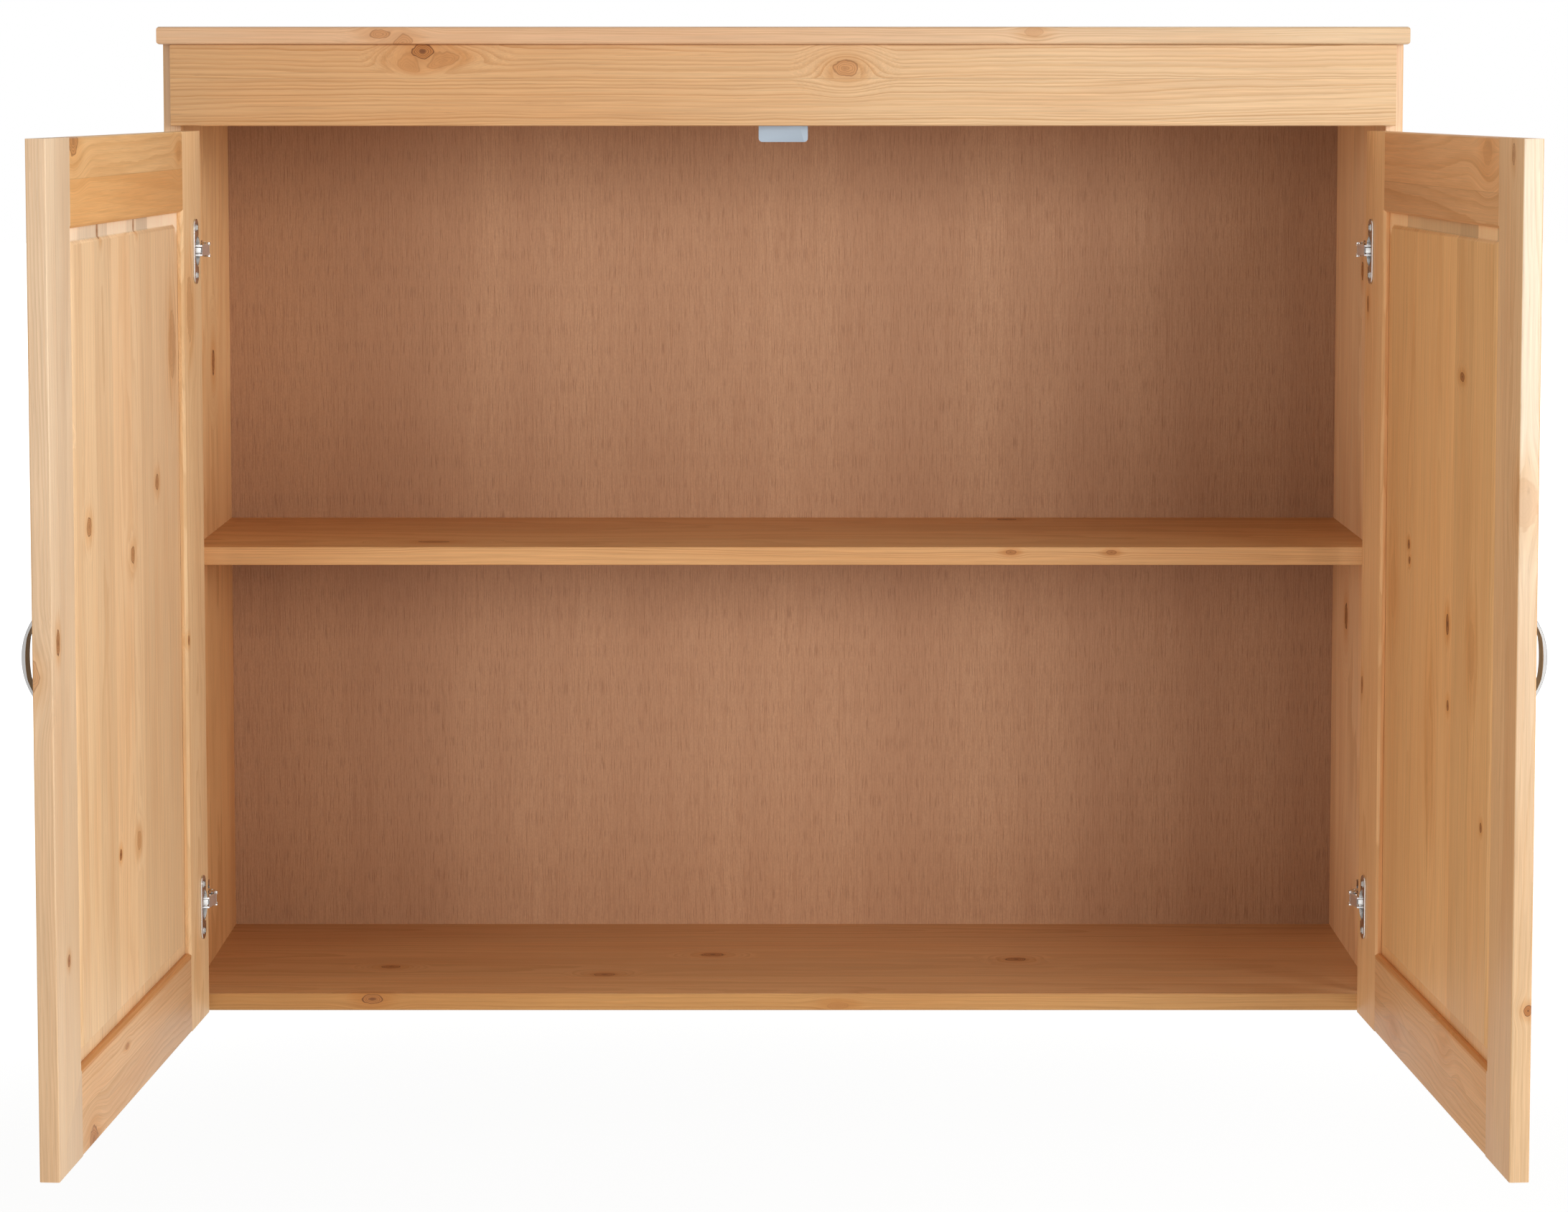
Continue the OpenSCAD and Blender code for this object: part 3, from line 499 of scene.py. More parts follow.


# %% [markdown]
# ## The boards of the case
# The frieze is glued from two strips with a seam a little above its middle. The upper strip has a
# swirling dark knot that touches the top edge and a round ringed one near the middle, and the
# lower strip has close straight lines.

# %% Case boards
# the top board, bottom board and frieze turn paler towards the right, and the left side panel upwards:
# painted light
CASE_BOARDS = {
    "top_board": dict(
        order="xyz", seams=(0.045, 0.12, 0.19), seed=3.0, ring=0.0034, lines=0.5, wander=0.016,
        tone=((0.83, 0.80, 0.88), (0.92, 1.04, 1.24), -0.1, 0.48),
        knots=[
            (-0.322, -0.018, 0.006, 1.6, 0.45, 0.795, 0.004), (-0.304, -0.02, 0.005, 1.8, 0.4, 0.791, 0.004),
            (0.2, -0.02, 0.003, 2.6, 0.25, 0.797, 0.004), (-0.1, 0.12, 0.011, 1.4, 1.0),
            (0.33, 0.06, 0.013, 1.3, 0.9), (-0.38, 0.2, 0.008, 1.3, 1.0), (0.12, 0.21, 0.007, 1.4, 0.8)]),
    "bottom_board": dict(
        order="xyz", seams=(0.06, 0.125, 0.19), seed=8.0, lines=0.55, tints=0.08, wander=0.018,
        tone=((0.84, 0.73, 0.61), (0.95, 0.88, 0.82), -0.3, 0.45), edge=(0.0008, 0.0001, (0.81, 0.71, 0.52)),
        knots=[
            (-0.06, 0.14, 0.006, 1.6, 0.9), (-0.149, 0.067, 0.005, 1.8, 0.8), (0.198, 0.123, 0.006, 1.5, 0.9),
            (-0.33, 0.095, 0.005, 1.6, 0.8), (-0.336, 0.0, 0.004, 2.2, 0.8, 0.0095, 0.004),
            (0.045, 0.0, 0.003, 3.0, 0.3, 0.004, 0.003)]),
    "shelf": dict(
        order="xyz", seams=(0.1, 0.155, 0.21), seed=14.0, ring=0.0028, lines=0.55, tints=0.08, wander=0.018,
        tone=(0.91, 0.79, 0.63), edge=(0.0448, 0.0441, (0.96, 0.94, 0.96)),
        knots=[
            (-0.29, 0.08, 0.006, 2.2, 0.9), (0.196, 0.245, 0.006, 1.6, 0.9),
            (0.187, 0.044, 0.002, 2.2, 0.7, 0.3717, 0.002), (0.27, 0.044, 0.002, 2.2, 0.7, 0.3717, 0.002)]),
    "frieze": dict(
        order="xzy", seams=(0.7598,), seed=21.0, ring=0.0034, heart=0.04, lines=0.85, tints=0.05,
        wander=0.020, shifts=(0.09, 0.0), tone=((0.82, 0.73, 0.65), (0.90, 0.94, 1.00), -0.3, 0.3),
        knots=[
            (-0.288, 0.7815, 0.006, 1.5, 0.9), (-0.272, 0.7775, 0.004, 3.4, 0.35),
            (-0.3, 0.776, 0.0035, 2.6, 0.3), (0.050, 0.768, 0.0065, 1.6, 0.5)]),
    "hanging_rail": dict(order="xzy", seams=(0.75,), seed=27.0, knots=[(-0.2, 0.735, 0.007, 1.4, 1.0)]),
    # its darker front edge is painted shade
    "left_side_panel": dict(
        order="zyx", seams=(0.055, 0.115, 0.18, 0.235), seed=33.0, lines=0.5, wander=0.014,
        tone=((1.06, 0.93, 0.75), (1.29, 1.33, 1.28), 0.25, 0.6), edge=(0.0008, 0.0001, (0.81, 0.81, 0.96)),
        knots=[(0.52, 0.16, 0.008, 1.6, 0.9), (0.2, 0.09, 0.007, 1.5, 0.8), (0.66, 0.06, 0.005, 1.5, 0.8)]),
    "right_side_panel": dict(
        order="zyx", seams=(0.05, 0.11, 0.165, 0.225), seed=47.0, lines=0.5, wander=0.014,
        tone=(1.27, 1.30, 1.38), edge=(0.0008, 0.0001, (0.92, 1.0, 1.18)),
        knots=[(0.30, 0.18, 0.008, 1.6, 0.9), (0.6, 0.11, 0.006, 1.5, 0.9), (0.12, 0.05, 0.006, 1.4, 0.7)]),
}
case_finishes = {board: pine(board + "_pine", **values) for board, values in CASE_BOARDS.items()}
print("case finishes", sorted(case_finishes))

# %% [markdown]
# ## The boards of the doors
# The stiles run up the door, the rails run across it in two glued strips, and the panel is
# glued from upright staves. The rails and stiles have few knots, the panels have several small
# ones. The left door's boards have pale tones, which paint light on its inner face, and the right
# door's boards have warmer, darker tones, which paint shade warmed by light bounced off the wood.

# %% Door boards
# where the painted shade along the top edge of each bottom rail starts
RAIL_SHADE_BAND = 0.0595
# pale left door tones are painted light, warm dark right door tones are painted shade
DOOR_BOARDS = {
    "left_hinge_stile": dict(
        order="zxy", seed=52.0, lines=0.5, ring=0.0026, tone=(1.06, 1.11, 1.14),
        knots=[
            (0.578, 0.045, 0.010, 2.6, 0.3), (0.315, 0.0615, 0.0025, 1.6, 1.0),
            (0.04, 0.0405, 0.009, 2.4, 0.1)]),
    "left_free_stile": dict(
        order="zxy", seams=(0.4645,), seed=58.0, ring=0.0024, lines=0.36, wander=0.02,
        tone=((1.08, 1.18, 1.35), (1.20, 1.42, 1.82), 0.1, 0.6), edge=(0.4878, 0.4884, (0.76, 0.70, 0.66)),
        knots=[
            (0.373, 0.472, 0.0045, 2.0, 0.75), (0.148, 0.454, 0.0035, 1.2, 0.9),
            (0.353, 0.4885, 0.0056, 2.1, 0.42, -0.0145, 0.0056)]),
    "left_top_rail": dict(
        order="xzy", seams=(0.689,), seed=64.0, ring=0.0036, lines=0.36, wander=0.016,
        tone=(1.06, 1.0, 0.86), edge=(0.6892, 0.6888, (0.99, 0.91, 0.80)),
        knots=[(0.412, 0.716, 0.011, 1.2, 0.55), (0.078, 0.701, 0.006, 1.2, 0.2)]),
    "left_bottom_rail": dict(
        order="xzy", seams=(0.033,), seed=70.0, tints=0.16, tone=(0.94, 0.89, 0.87), shade_band=RAIL_SHADE_BAND,
        knots=[(0.3905, 0.0045, 0.009, 1.3, 0.6), (0.286, 0.045, 0.0022, 2.6, 0.5)]),
    "left_door_panel": dict(
        panel=True, order="zxy", seams=(0.062, 0.116, 0.1685, 0.204, 0.2355, 0.296, 0.346, 0.383), seed=76.0,
        ring=0.0028, lines=0.4, tints=0.12, tone=((1.10, 1.16, 1.22), (1.16, 1.26, 1.41), 0.15, 0.6),
        knots=[
            (0.451, 0.156, 0.0055, 1.1, 0.6), (0.441, 0.371, 0.0065, 1.1, 0.6),
            (0.405, 0.2385, 0.006, 1.1, 0.6), (0.188, 0.229, 0.0065, 1.1, 0.35),
            (0.189, 0.288, 0.0035, 1.2, 1.2), (0.509, 0.4156, 0.003, 1.1, 1.0),
            (0.554, 0.098, 0.011, 2.4, 0.3), (0.650, 0.3265, 0.003, 2.0, 0.7),
            (0.650, 0.214, 0.0025, 2.0, 0.7)]),
    "right_hinge_stile": dict(
        order="zxy", seed=83.0, ring=0.0026, tone=(1.07, 0.94, 0.81),
        knots=[(0.58, 0.012, 0.003, 2.2, 0.9), (0.271, 0.006, 0.003, 2.4, 0.8)]),
    # its front edge turns pale towards the top: a painted highlight
    "right_free_stile": dict(
        order="zxy", seams=(0.458,), seed=89.0, ring=0.0024, lines=0.36, wander=0.02,
        tone=((1.08, 0.98, 0.86), (1.17, 1.13, 1.10), 0.1, 0.6),
        edge=(0.4878, 0.4884, (0.82, 0.92, 1.10), (0.95, 1.22, 1.75)),
        knots=[
            (0.707, 0.4617, 0.0045, 1.6, 0.5), (0.121, 0.4885, 0.0032, 1.2, 1.0, -0.0115, 0.003),
            (0.47, 0.4885, 0.010, 1.8, 0.2, -0.004, 0.01)]),
    "right_top_rail": dict(
        order="xzy", seams=(0.6795,), seed=95.0, ring=0.0046, tints=0.12, lines=0.55, wander=0.02,
        tone=(1.04, 0.87, 0.73), knots=[(0.39, 0.7076, 0.010, 1.3, 0.2)]),
    "right_bottom_rail": dict(
        order="xzy", seams=(0.030,), seed=101.0, ring=0.0022, tints=0.14, tone=(1.07, 0.94, 0.82),
        shade_band=RAIL_SHADE_BAND, knots=[(0.132, 0.018, 0.008, 1.6, 0.15), (0.294, 0.0528, 0.009, 1.3, 0.0)]),
    "right_door_panel": dict(
        panel=True, order="zxy", seams=(0.057, 0.126, 0.169, 0.254, 0.2955, 0.347, 0.402), seed=107.0,
        ring=0.0028, lines=0.4, tints=0.17, tone=(1.14, 1.0, 0.79),
        knots=[
            (0.544, 0.316, 0.0062, 0.55, 0.95), (0.359, 0.281, 0.0045, 1.7, 1.3),
            (0.299, 0.285, 0.0032, 1.3, 0.9), (0.349, 0.354, 0.009, 2.6, 0.2), (0.27, 0.228, 0.011, 4.0, 0.1),
            (0.228, 0.387, 0.003, 1.2, 1.0), (0.403, 0.1546, 0.0035, 1.0, 1.2),
            (0.391, 0.157, 0.003, 1.0, 1.1), (0.365, 0.103, 0.01, 2.6, 0.15)]),
}
door_finishes = {}
for board, values in DOOR_BOARDS.items():
    door_finishes[board] = pine(board + "_pine", side=board.split("_")[0], **values)
print("door finishes", sorted(door_finishes))

# %% [markdown]
# ## Veneer and dowels
# The back is a thin board faced with a reddish-brown veneer whose fine pores run upright. Veneer
# is a slice of one trunk, so its bands, its grain and its pores are noises of the same place,
# each stretched upwards by its own amount. The dowels are turned beech, a pale wood with short
# brown flecks.

# %% Veneer
VENEER_BROWN = (0.53, 0.30, 0.172, 1)
VENEER_BAND = (0.465, 0.25, 0.14, 1)
VENEER_GRAIN = (0.35, 0.17, 0.088, 1)
VENEER_CURL = (0.36, 0.18, 0.095, 1)
VENEER_PORE = (0.24, 0.105, 0.052, 1)
# the two side tones are partly painted shade and the middle tone partly painted light
LEFT_SHEET_PAINTED_SHADE = (0.90, 0.84, 0.74, 1)
MIDDLE_SHEET_PAINTED_LIGHT = (1.09, 1.12, 1.12, 1)
RIGHT_SHEET_PAINTED_SHADE = (0.80, 0.76, 0.70, 1)


def veneer_finish():
    made, tree, shader = new_material("red_brown_veneer")
    place, _ = case_place(tree)
    bands = stretched_noise(tree, place, (13.0, 13.0, 0.5), 3.0, 0.6)
    wavy = vector_calc(tree, "MULTIPLY_ADD", noise(tree, place, 9.0, out="Color"), (0.004, 0.0, 0.0), place)
    grain = stretched_noise(tree, wavy, (700.0, 700.0, 12.0), 3.0, 0.65)
    pores = step(tree, stretched_noise(tree, wavy, (1500.0, 1500.0, 60.0), 1.5), 0.5, 0.7)
    curl = stretched_noise(tree, wavy, (900.0, 900.0, 380.0), 2.0, 0.6)
    color = blend(tree, step(tree, bands, 0.3, 0.7), VENEER_BROWN, VENEER_BAND)
    color = blend(tree, step(tree, grain, 0.4, 0.75, 0.0, 0.55), color, VENEER_GRAIN)
    color = blend(tree, step(tree, curl, 0.35, 0.65, 0.3, 0.0), color, VENEER_CURL)
    color = blend(tree, calc(tree, "MULTIPLY", pores, 0.5), color, VENEER_PORE)
    # the back is painted darker near the sides, where the sides and the doors shade it, and paler in the
    # middle: partly the veneer's own tone, partly painted shade and painted light
    x = split(tree, place)[0]
    tone = blend(tree, step(tree, x, -0.46, -0.2), LEFT_SHEET_PAINTED_SHADE, MIDDLE_SHEET_PAINTED_LIGHT)
    tone = blend(tree, step(tree, x, 0.2, 0.46), tone, RIGHT_SHEET_PAINTED_SHADE)
    wire(tree, shader, {
        "Base Color": tinted(tree, color, tone), "Roughness": calc(tree, "MULTIPLY_ADD", grain, 0.2, 0.45),
        "Normal": bump(tree, calc(tree, "SUBTRACT", grain, pores), 0.3, 0.0003)})
    return made


veneer = veneer_finish()
print(veneer.name, "has", len(veneer.node_tree.nodes), "nodes")


# %% Beech
BEECH_PALE = (0.72, 0.5, 0.31, 1)
BEECH_DEEP = (0.62, 0.4, 0.23, 1)
BEECH_FLECK = (0.4, 0.22, 0.11, 1)


def beech_finish():
    made, tree, shader = new_material("beech_dowel")
    place, _ = case_place(tree)
    fleck = noise(tree, place, 900.0)
    color = blend(tree, step(tree, noise(tree, place, 120.0), 0.3, 0.7), BEECH_PALE, BEECH_DEEP)
    color = blend(tree, step(tree, fleck, 0.6, 0.75, 0.0, 0.5), color, BEECH_FLECK)
    wire(tree, shader, {"Base Color": color, "Roughness": calc(tree, "MULTIPLY_ADD", fleck, 0.2, 0.5)})
    return made


beech = beech_finish()
print(beech.name, "has", len(beech.node_tree.nodes), "nodes")

# %% [markdown]
# ## Metals
# The hinges are nickel plated, the stop plate is zinc, the screws and nails are plain steel, and
# the handles are of brushed pewter. Metal takes its looks from what it mirrors, so a faint
# brushed noise on its roughness says more than any colour. The plate that joins the two cheeks
# of a hinge link looks satin, so the links get a rougher nickel of their own. Old pewter also
# mirrors less at a grazing angle than new metal does.

# %% Metals
def metal(name, color, rough, stretch, spread=0.12, grazing=(1, 1, 1)):
    """A metal whose roughness varies in fine streaks, longer along the axes where stretch is small."""
    made, tree, shader = new_material(name)
    place, _ = case_place(tree)
    grain = stretched_noise(tree, place, stretch, 3.0, 0.6)
    streaks = calc(tree, "MULTIPLY_ADD", grain, spread, rough - spread / 2)
    cloud = calc(tree, "MULTIPLY_ADD", noise(tree, place, 160.0), 0.06, -0.03)
    wire(tree, shader, {
        "Base Color": (*color, 1), "Metallic": 1.0, "Specular Tint": (*grazing, 1),
        "Roughness": calc(tree, "ADD", streaks, cloud), "Normal": bump(tree, grain, 0.3, 0.00002)})
    return made


nickel = metal("nickel_plate", (0.72, 0.71, 0.69), 0.24, (900.0, 900.0, 900.0))
satin = metal("satin_nickel", (0.86, 0.86, 0.87), 0.46, (900.0, 900.0, 900.0))
steel = metal("plain_steel", (0.58, 0.57, 0.55), 0.34, (1200.0, 1200.0, 1200.0), 0.16)
zinc = metal("zinc_plate", (0.31, 0.357, 0.41), 0.42, (120.0, 120.0, 900.0), 0.16)
pewter = metal("brushed_pewter", (0.42, 0.415, 0.41), 0.36, (2200.0, 2200.0, 160.0), 0.14, (0.5, 0.5, 0.52))
print("metals", nickel.name, satin.name, steel.name, zinc.name, pewter.name)

# %% [markdown]
# ## Boards with eased edges
# Sandpaper takes the sharp edge off every board, and the light picks that edge out as a fine
# pale line. The model's boards have their long edges rounded but their ends are sharp, so each
# board is copied, its loose triangles are merged, flat faces are joined, and a small bevel goes
# on every long sharp edge. Short edges, such as those round a dowel hole, are left alone. Wide
# faces are shaded flat and the narrow ones of a rounding are shaded smooth, so that no false
# shadow runs over a board. The copy then stands in for the model's board.

# %% Copies with eased edges
NARROW_FACE = 0.0016
MERGE_DISTANCE = 1e-6
FLAT_ANGLE = 0.004
BOARD_CREASE = 0.7


def without_doubles(node):
    """A node's mesh as an editable shape whose loose triangles are merged."""
    shape = bmesh.new()
    shape.from_mesh(frame["nodes"][node].data)
    bmesh.ops.remove_doubles(shape, verts=shape.verts, dist=MERGE_DISTANCE)
    return shape


def eased(node, width, min_length, angle):
    """A copy of a node with a small bevel on edges that are longer and sharper than these limits."""
    mesh = frame["nodes"][node].data.copy()
    mesh.name = node + "_eased"
    shape = without_doubles(node)
    bmesh.ops.dissolve_limit(shape, angle_limit=FLAT_ANGLE, verts=shape.verts, edges=shape.edges)
    sharp = [e for e in shape.edges if len(e.link_faces) == 2 and e.is_convex
             and e.calc_face_angle(0) > angle and e.calc_length() > min_length]
    if sharp:
        bmesh.ops.bevel(shape, geom=sharp, offset=width, offset_type="OFFSET", segments=2,
                        profile=0.5, affect="EDGES", clamp_overlap=True)
    for face in shape.faces:
        face.smooth = face.calc_area() < NARROW_FACE * max(e.calc_length() for e in face.edges)
    open_edges = sum(1 for e in shape.edges if len(e.link_faces) != 2)
    shape.to_mesh(mesh)
    shape.free()
    if "custom_normal" in mesh.attributes:
        mesh.attributes.remove(mesh.attributes["custom_normal"])
    mesh.set_sharp_from_angle(angle=BOARD_CREASE)
    mesh.materials.clear()
    if open_edges:
        print("open edges", node, open_edges)
    return add_object(mesh.name, mesh)


# %% Round faces and standing in
def shade_round(made, angle):
    """Smooth shading over all faces that meet at less than the angle."""
    made.data.shade_smooth()
    made.data.set_sharp_from_angle(angle=angle)


def stand_in(made, node):
    """Lets a made piece take the place of a node, on the node's own body."""
    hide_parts(node)
    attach(made, frame["nodes"][node]["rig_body"])


# %% Ease the boards
BOARD_EASE = 0.0004
BOARD_MIN_EDGE = 0.02
BOARD_SHARP = 0.6
for finishes, slot in ((case_finishes, "case_wood"), (door_finishes, "door_wood")):
    for board, finish in finishes.items():
        made = eased(board, BOARD_EASE, BOARD_MIN_EDGE, BOARD_SHARP)
        made.data.materials.append(finish)
        stand_in(made, board)
print("eased boards", len(case_finishes) + len(door_finishes))

# %% [markdown]
# ## Pieces that keep their shape
# The back, the dowels and the hinge pins are plain shapes that need no easing, so the model's
# own pieces stay and only get their finish.

# %% Finishes of the plain nodes
PLAIN_NODES = {
    veneer: ["back_panel"],
    beech: ["case_dowels", "frieze_dowels"],
    steel: ["left_hinge_arm_pins", "right_hinge_arm_pins", "left_hinge_cup_pins", "right_hinge_cup_pins"],
}
for finish, names in PLAIN_NODES.items():
    for name in names:
        slots = frame["nodes"][name].data.materials
        slots.clear()
        slots.append(finish)
print("plain nodes", sum(len(names) for names in PLAIN_NODES.values()))

# %% [markdown]
# ## Hinges and the stop plate
# Pressed and plated steel has soft edges that carry the highlights, so the hinge parts and the
# stop plate are eased as the boards are, with smooth shading across their round faces.

# %% Hinge parts
HINGE_EASE = 0.00022
HINGE_MIN_EDGE = 0.0009
HINGE_SHARP = 0.9
HINGE_CREASE = 0.55
PRESSED_PARTS = {}
for side in MIRROR:
    for part in ("hinge_bases", "hinge_arms", "outer_links", "inner_links", "hinge_cups"):
        finish = satin if part == "outer_links" else nickel
        PRESSED_PARTS[side + "_" + part] = (finish, "hinge_nickel")
PRESSED_PARTS["door_stop_plate"] = (zinc, "stop_zinc")
for node, (finish, slot) in PRESSED_PARTS.items():
    made = eased(node, HINGE_EASE, HINGE_MIN_EDGE, HINGE_SHARP)
    shade_round(made, HINGE_CREASE)
    made.data.materials.append(finish)
    stand_in(made, node)
print("pressed parts", len(PRESSED_PARTS))

# %% [markdown]
# ## Screws and nails
# Small fixings repeat, so they are a job for Geometry Nodes. The model says where each one sits,
# which way it points and how big its head is. A tree builds one screw from those sizes: a shank,
# a head with a sloping crown, and a cross cut into it. It puts one on every point, turned along
# the point's own axis, and a nail is the same screw without the cross.

# %% Measure the fixings
SIZE_STEP = 1e-5


def islands(node):
    """The separate solids of a node, each as a list of points."""
    shape = without_doubles(node)
    left, found = set(shape.verts), []
    while left:
        todo, part = [left.pop()], []
        while todo:
            v = todo.pop()
            part.append(v.co.copy())
            for e in v.link_edges:
                other = e.other_vert(v)
                if other in left:
                    left.discard(other)
                    todo.append(other)
        found.append(part)
    shape.free()
    return found


def measure(points, axis):
    """Where a fixing's head ends, and the sizes of its head and shank."""
    middle = sum(points, Vector()) / len(points)
    along = [(p - middle).dot(axis) for p in points]
    low, high = min(along), max(along)
    centre = Vector([(min(p[i] for p in points) + max(p[i] for p in points)) / 2 for i in range(3)])
    centre = centre + axis * (-(centre - middle).dot(axis))
    out = [((p - centre) - axis * (p - centre).dot(axis)).length for p in points]
    shank = max(r for r, a in zip(out, along) if a < low + SIZE_STEP)
    head = max(out)
    head_low = min(a for r, a in zip(out, along) if r > head - SIZE_STEP)
    return centre + axis * high, head, high - head_low, shank, high - low


def door_axis(side, outwards):
    """The way across a door's thickness, from its outer face to its inner face, or back."""
    into = Matrix.Rotation(-OPEN_ANGLE, 3, "Z") @ Vector((0, 1, 0))
    into.x *= MIRROR[side]
    return -into if outwards else into


# %% [markdown]
# ## The screw tree
# The sizes are the tree's inputs, so one tree makes every screw in the cupboard. Booleans join
# the head to the shank and cut the cross, because a screw has to be one closed solid. The way a
# screw points comes with its point, as an attribute of the points.

# %% Sockets of the screw tree
screw_tree, screw_in, screw_out = group_tree("screws", "GeometryNodeTree", [
    ("Places", "Geometry"), ("Head radius", "Float", 0.0028), ("Head height", "Float", 0.0012),
    ("Shank radius", "Float", 0.0015), ("Length", "Float", 0.01), ("Cross", "Float", 1.0),
    ("Finish", "Material"),
], [("Screws", "Geometry")])
print(screw_tree.name, "has", len(screw_tree.interface.items_tree), "sockets")


# %% Shapes in a tree
def moved(tree, shape, **place):
    return add_node(tree, "GeometryNodeTransform", {
        "Geometry": shape, "Translation": combine(tree, **place)}).outputs["Geometry"]


def cylinder(tree, sides, radius, depth, **more):
    return add_node(tree, "GeometryNodeMeshCylinder", {
        "Vertices": sides, "Radius": radius, "Depth": depth, **more}).outputs["Mesh"]


def boolean(tree, operation, shapes, start=None, solver="FLOAT"):
    """The union of some shapes, or what is left of a first shape without them."""
    made = add_node(tree, "GeometryNodeMeshBoolean", operation=operation, solver=solver)
    if start:
        tree.links.new(start, made.inputs["Mesh 1"])
    for shape in shapes:
        tree.links.new(shape, made.inputs["Mesh 2"])
    return made.outputs["Mesh"]


def end_tree(tree, shape, finish, tree_out):
    """Makes the shape real and gives it its material, because the export drops instances."""
    real = add_node(tree, "GeometryNodeRealizeInstances", {"Geometry": shape})
    done = add_node(tree, "GeometryNodeSetMaterial", {
        "Geometry": real.outputs["Geometry"], "Material": finish})
    tree.links.new(done.outputs["Geometry"], tree_out.inputs[0])


# %% One screw
HEAD_WALL = 0.45
CROWN_TOP = 0.55
SHANK_START = 0.7


def plain_screw(tree, given):
    """The head's straight wall, its crown and the shank, hanging down from the top of the head."""
    radius, head_h, length = given["Head radius"], given["Head height"], given["Length"]
    wall = calc(tree, "MULTIPLY", head_h, HEAD_WALL)
    head = moved(tree, cylinder(tree, 32, radius, wall),
                 z=calc(tree, "SUBTRACT", calc(tree, "MULTIPLY", wall, 0.5), head_h))
    crown = add_node(tree, "GeometryNodeMeshCone", {
        "Vertices": 32, "Side Segments": 4, "Radius Top": calc(tree, "MULTIPLY", radius, CROWN_TOP),
        "Radius Bottom": radius, "Depth": calc(tree, "MULTIPLY", head_h, 1 - HEAD_WALL)}).outputs["Mesh"]
    crown = moved(tree, crown, z=calc(tree, "MULTIPLY", head_h, HEAD_WALL - 1))
    shank_length = calc(tree, "SUBTRACT", length, calc(tree, "MULTIPLY", head_h, SHANK_START))
    shank = moved(tree, cylinder(tree, 24, given["Shank radius"], shank_length),
                  z=calc(tree, "MULTIPLY", calc(tree, "MULTIPLY_ADD", head_h, SHANK_START, length), -0.5))
    return boolean(tree, "UNION", (head, crown, shank))


# %% The screw tree
CROSS_SHARES = (1.1, 0.24)


def build_screw_tree():
    tree, given = screw_tree, screw_in.outputs
    whole = plain_screw(tree, given)
    size, thin = (calc(tree, "MULTIPLY", given["Head radius"], share) for share in CROSS_SHARES)
    bars = []
    for sides in ((size, thin), (thin, size)):
        bar = add_node(tree, "GeometryNodeMeshCube", {"Size": combine(tree, *sides, given["Head height"])})
        bars.append(bar.outputs["Mesh"])
    crossed = add_node(tree, "FunctionNodeCompare", {0: given["Cross"], 1: 0.5}, operation="GREATER_THAN")
    kind = add_node(tree, "GeometryNodeSwitch", {
        "Switch": crossed.outputs[0], "False": whole, "True": boolean(tree, "DIFFERENCE", bars, whole),
    }, input_type="GEOMETRY")
    way = add_node(tree, "GeometryNodeInputNamedAttribute", {"Name": "way"}, data_type="FLOAT_VECTOR")
    turn = add_node(tree, "FunctionNodeAlignRotationToVector", {"Vector": way.outputs["Attribute"]}, axis="Z")
    placed = add_node(tree, "GeometryNodeInstanceOnPoints", {
        "Points": given["Places"], "Instance": kind.outputs["Output"], "Rotation": turn.outputs["Rotation"]})
    end_tree(tree, placed.outputs["Instances"], given["Finish"], screw_out)


build_screw_tree()
print("screw tree has", len(screw_tree.nodes), "nodes")

# %% [markdown]
# ## From a tree to a plain mesh
# A tree runs as a modifier. Its inputs are set by their identifiers, the finished shape is taken
# from the evaluated object, and the modifier is removed, so that a plain mesh is left. A node
# may hold screws of several sizes, so the tree runs once for each size found.

# %% Run a tree
TREE_CREASE = 0.6


def run_tree(holder, tree, values):
    """Puts the tree on the object with these inputs and keeps only the plain mesh that it makes."""
    live = holder.modifiers.new("shape", "NODES")
    live.node_group = tree
    for item in tree.interface.items_tree:
        if item.item_type == "SOCKET" and item.in_out == "INPUT" and item.name in values:
            live[item.identifier] = values[item.name]
    bpy.context.view_layer.update()
    ready = holder.evaluated_get(bpy.context.evaluated_depsgraph_get())
    mesh = bpy.data.meshes.new_from_object(ready)
    holder.modifiers.clear()
    holder.data = mesh
    return holder


def point_holder(name, places, axis):
    """An object of loose points that all carry the way in which their screw points."""
    mesh = bpy.data.meshes.new(name)
    mesh.from_pydata(places, [], [])
    way = mesh.attributes.new("way", "FLOAT_VECTOR", "POINT")
    way.data.foreach_set("vector", list(axis) * len(places))
    return add_object(name, mesh)


# %% Fixings in place of a node
def fixings(node, axis, cross=True):
    """Screws or nails in place of a node of them."""
    sizes = {}
    for points in islands(node):
        top, *measures = measure(points, axis)
        sizes.setdefault(tuple(round(v, 5) for v in measures), []).append(top)
    parts = []
    for (head, head_h, shank, length), tops in sorted(sizes.items()):
        parts.append(run_tree(point_holder(node + "_made", tops, axis), screw_tree, {
            "Head radius": head, "Head height": head_h, "Shank radius": shank, "Length": length,
            "Cross": 1.0 if cross else 0.0, "Finish": steel}))
    made = parts[0]
    if len(parts) > 1:
        with bpy.context.temp_override(active_object=made, selected_editable_objects=parts):
            bpy.ops.object.join()
    made.name = node + "_cut"
    shade_round(made, TREE_CREASE)
    stand_in(made, node)
    print(node, {size: len(tops) for size, tops in sizes.items()})


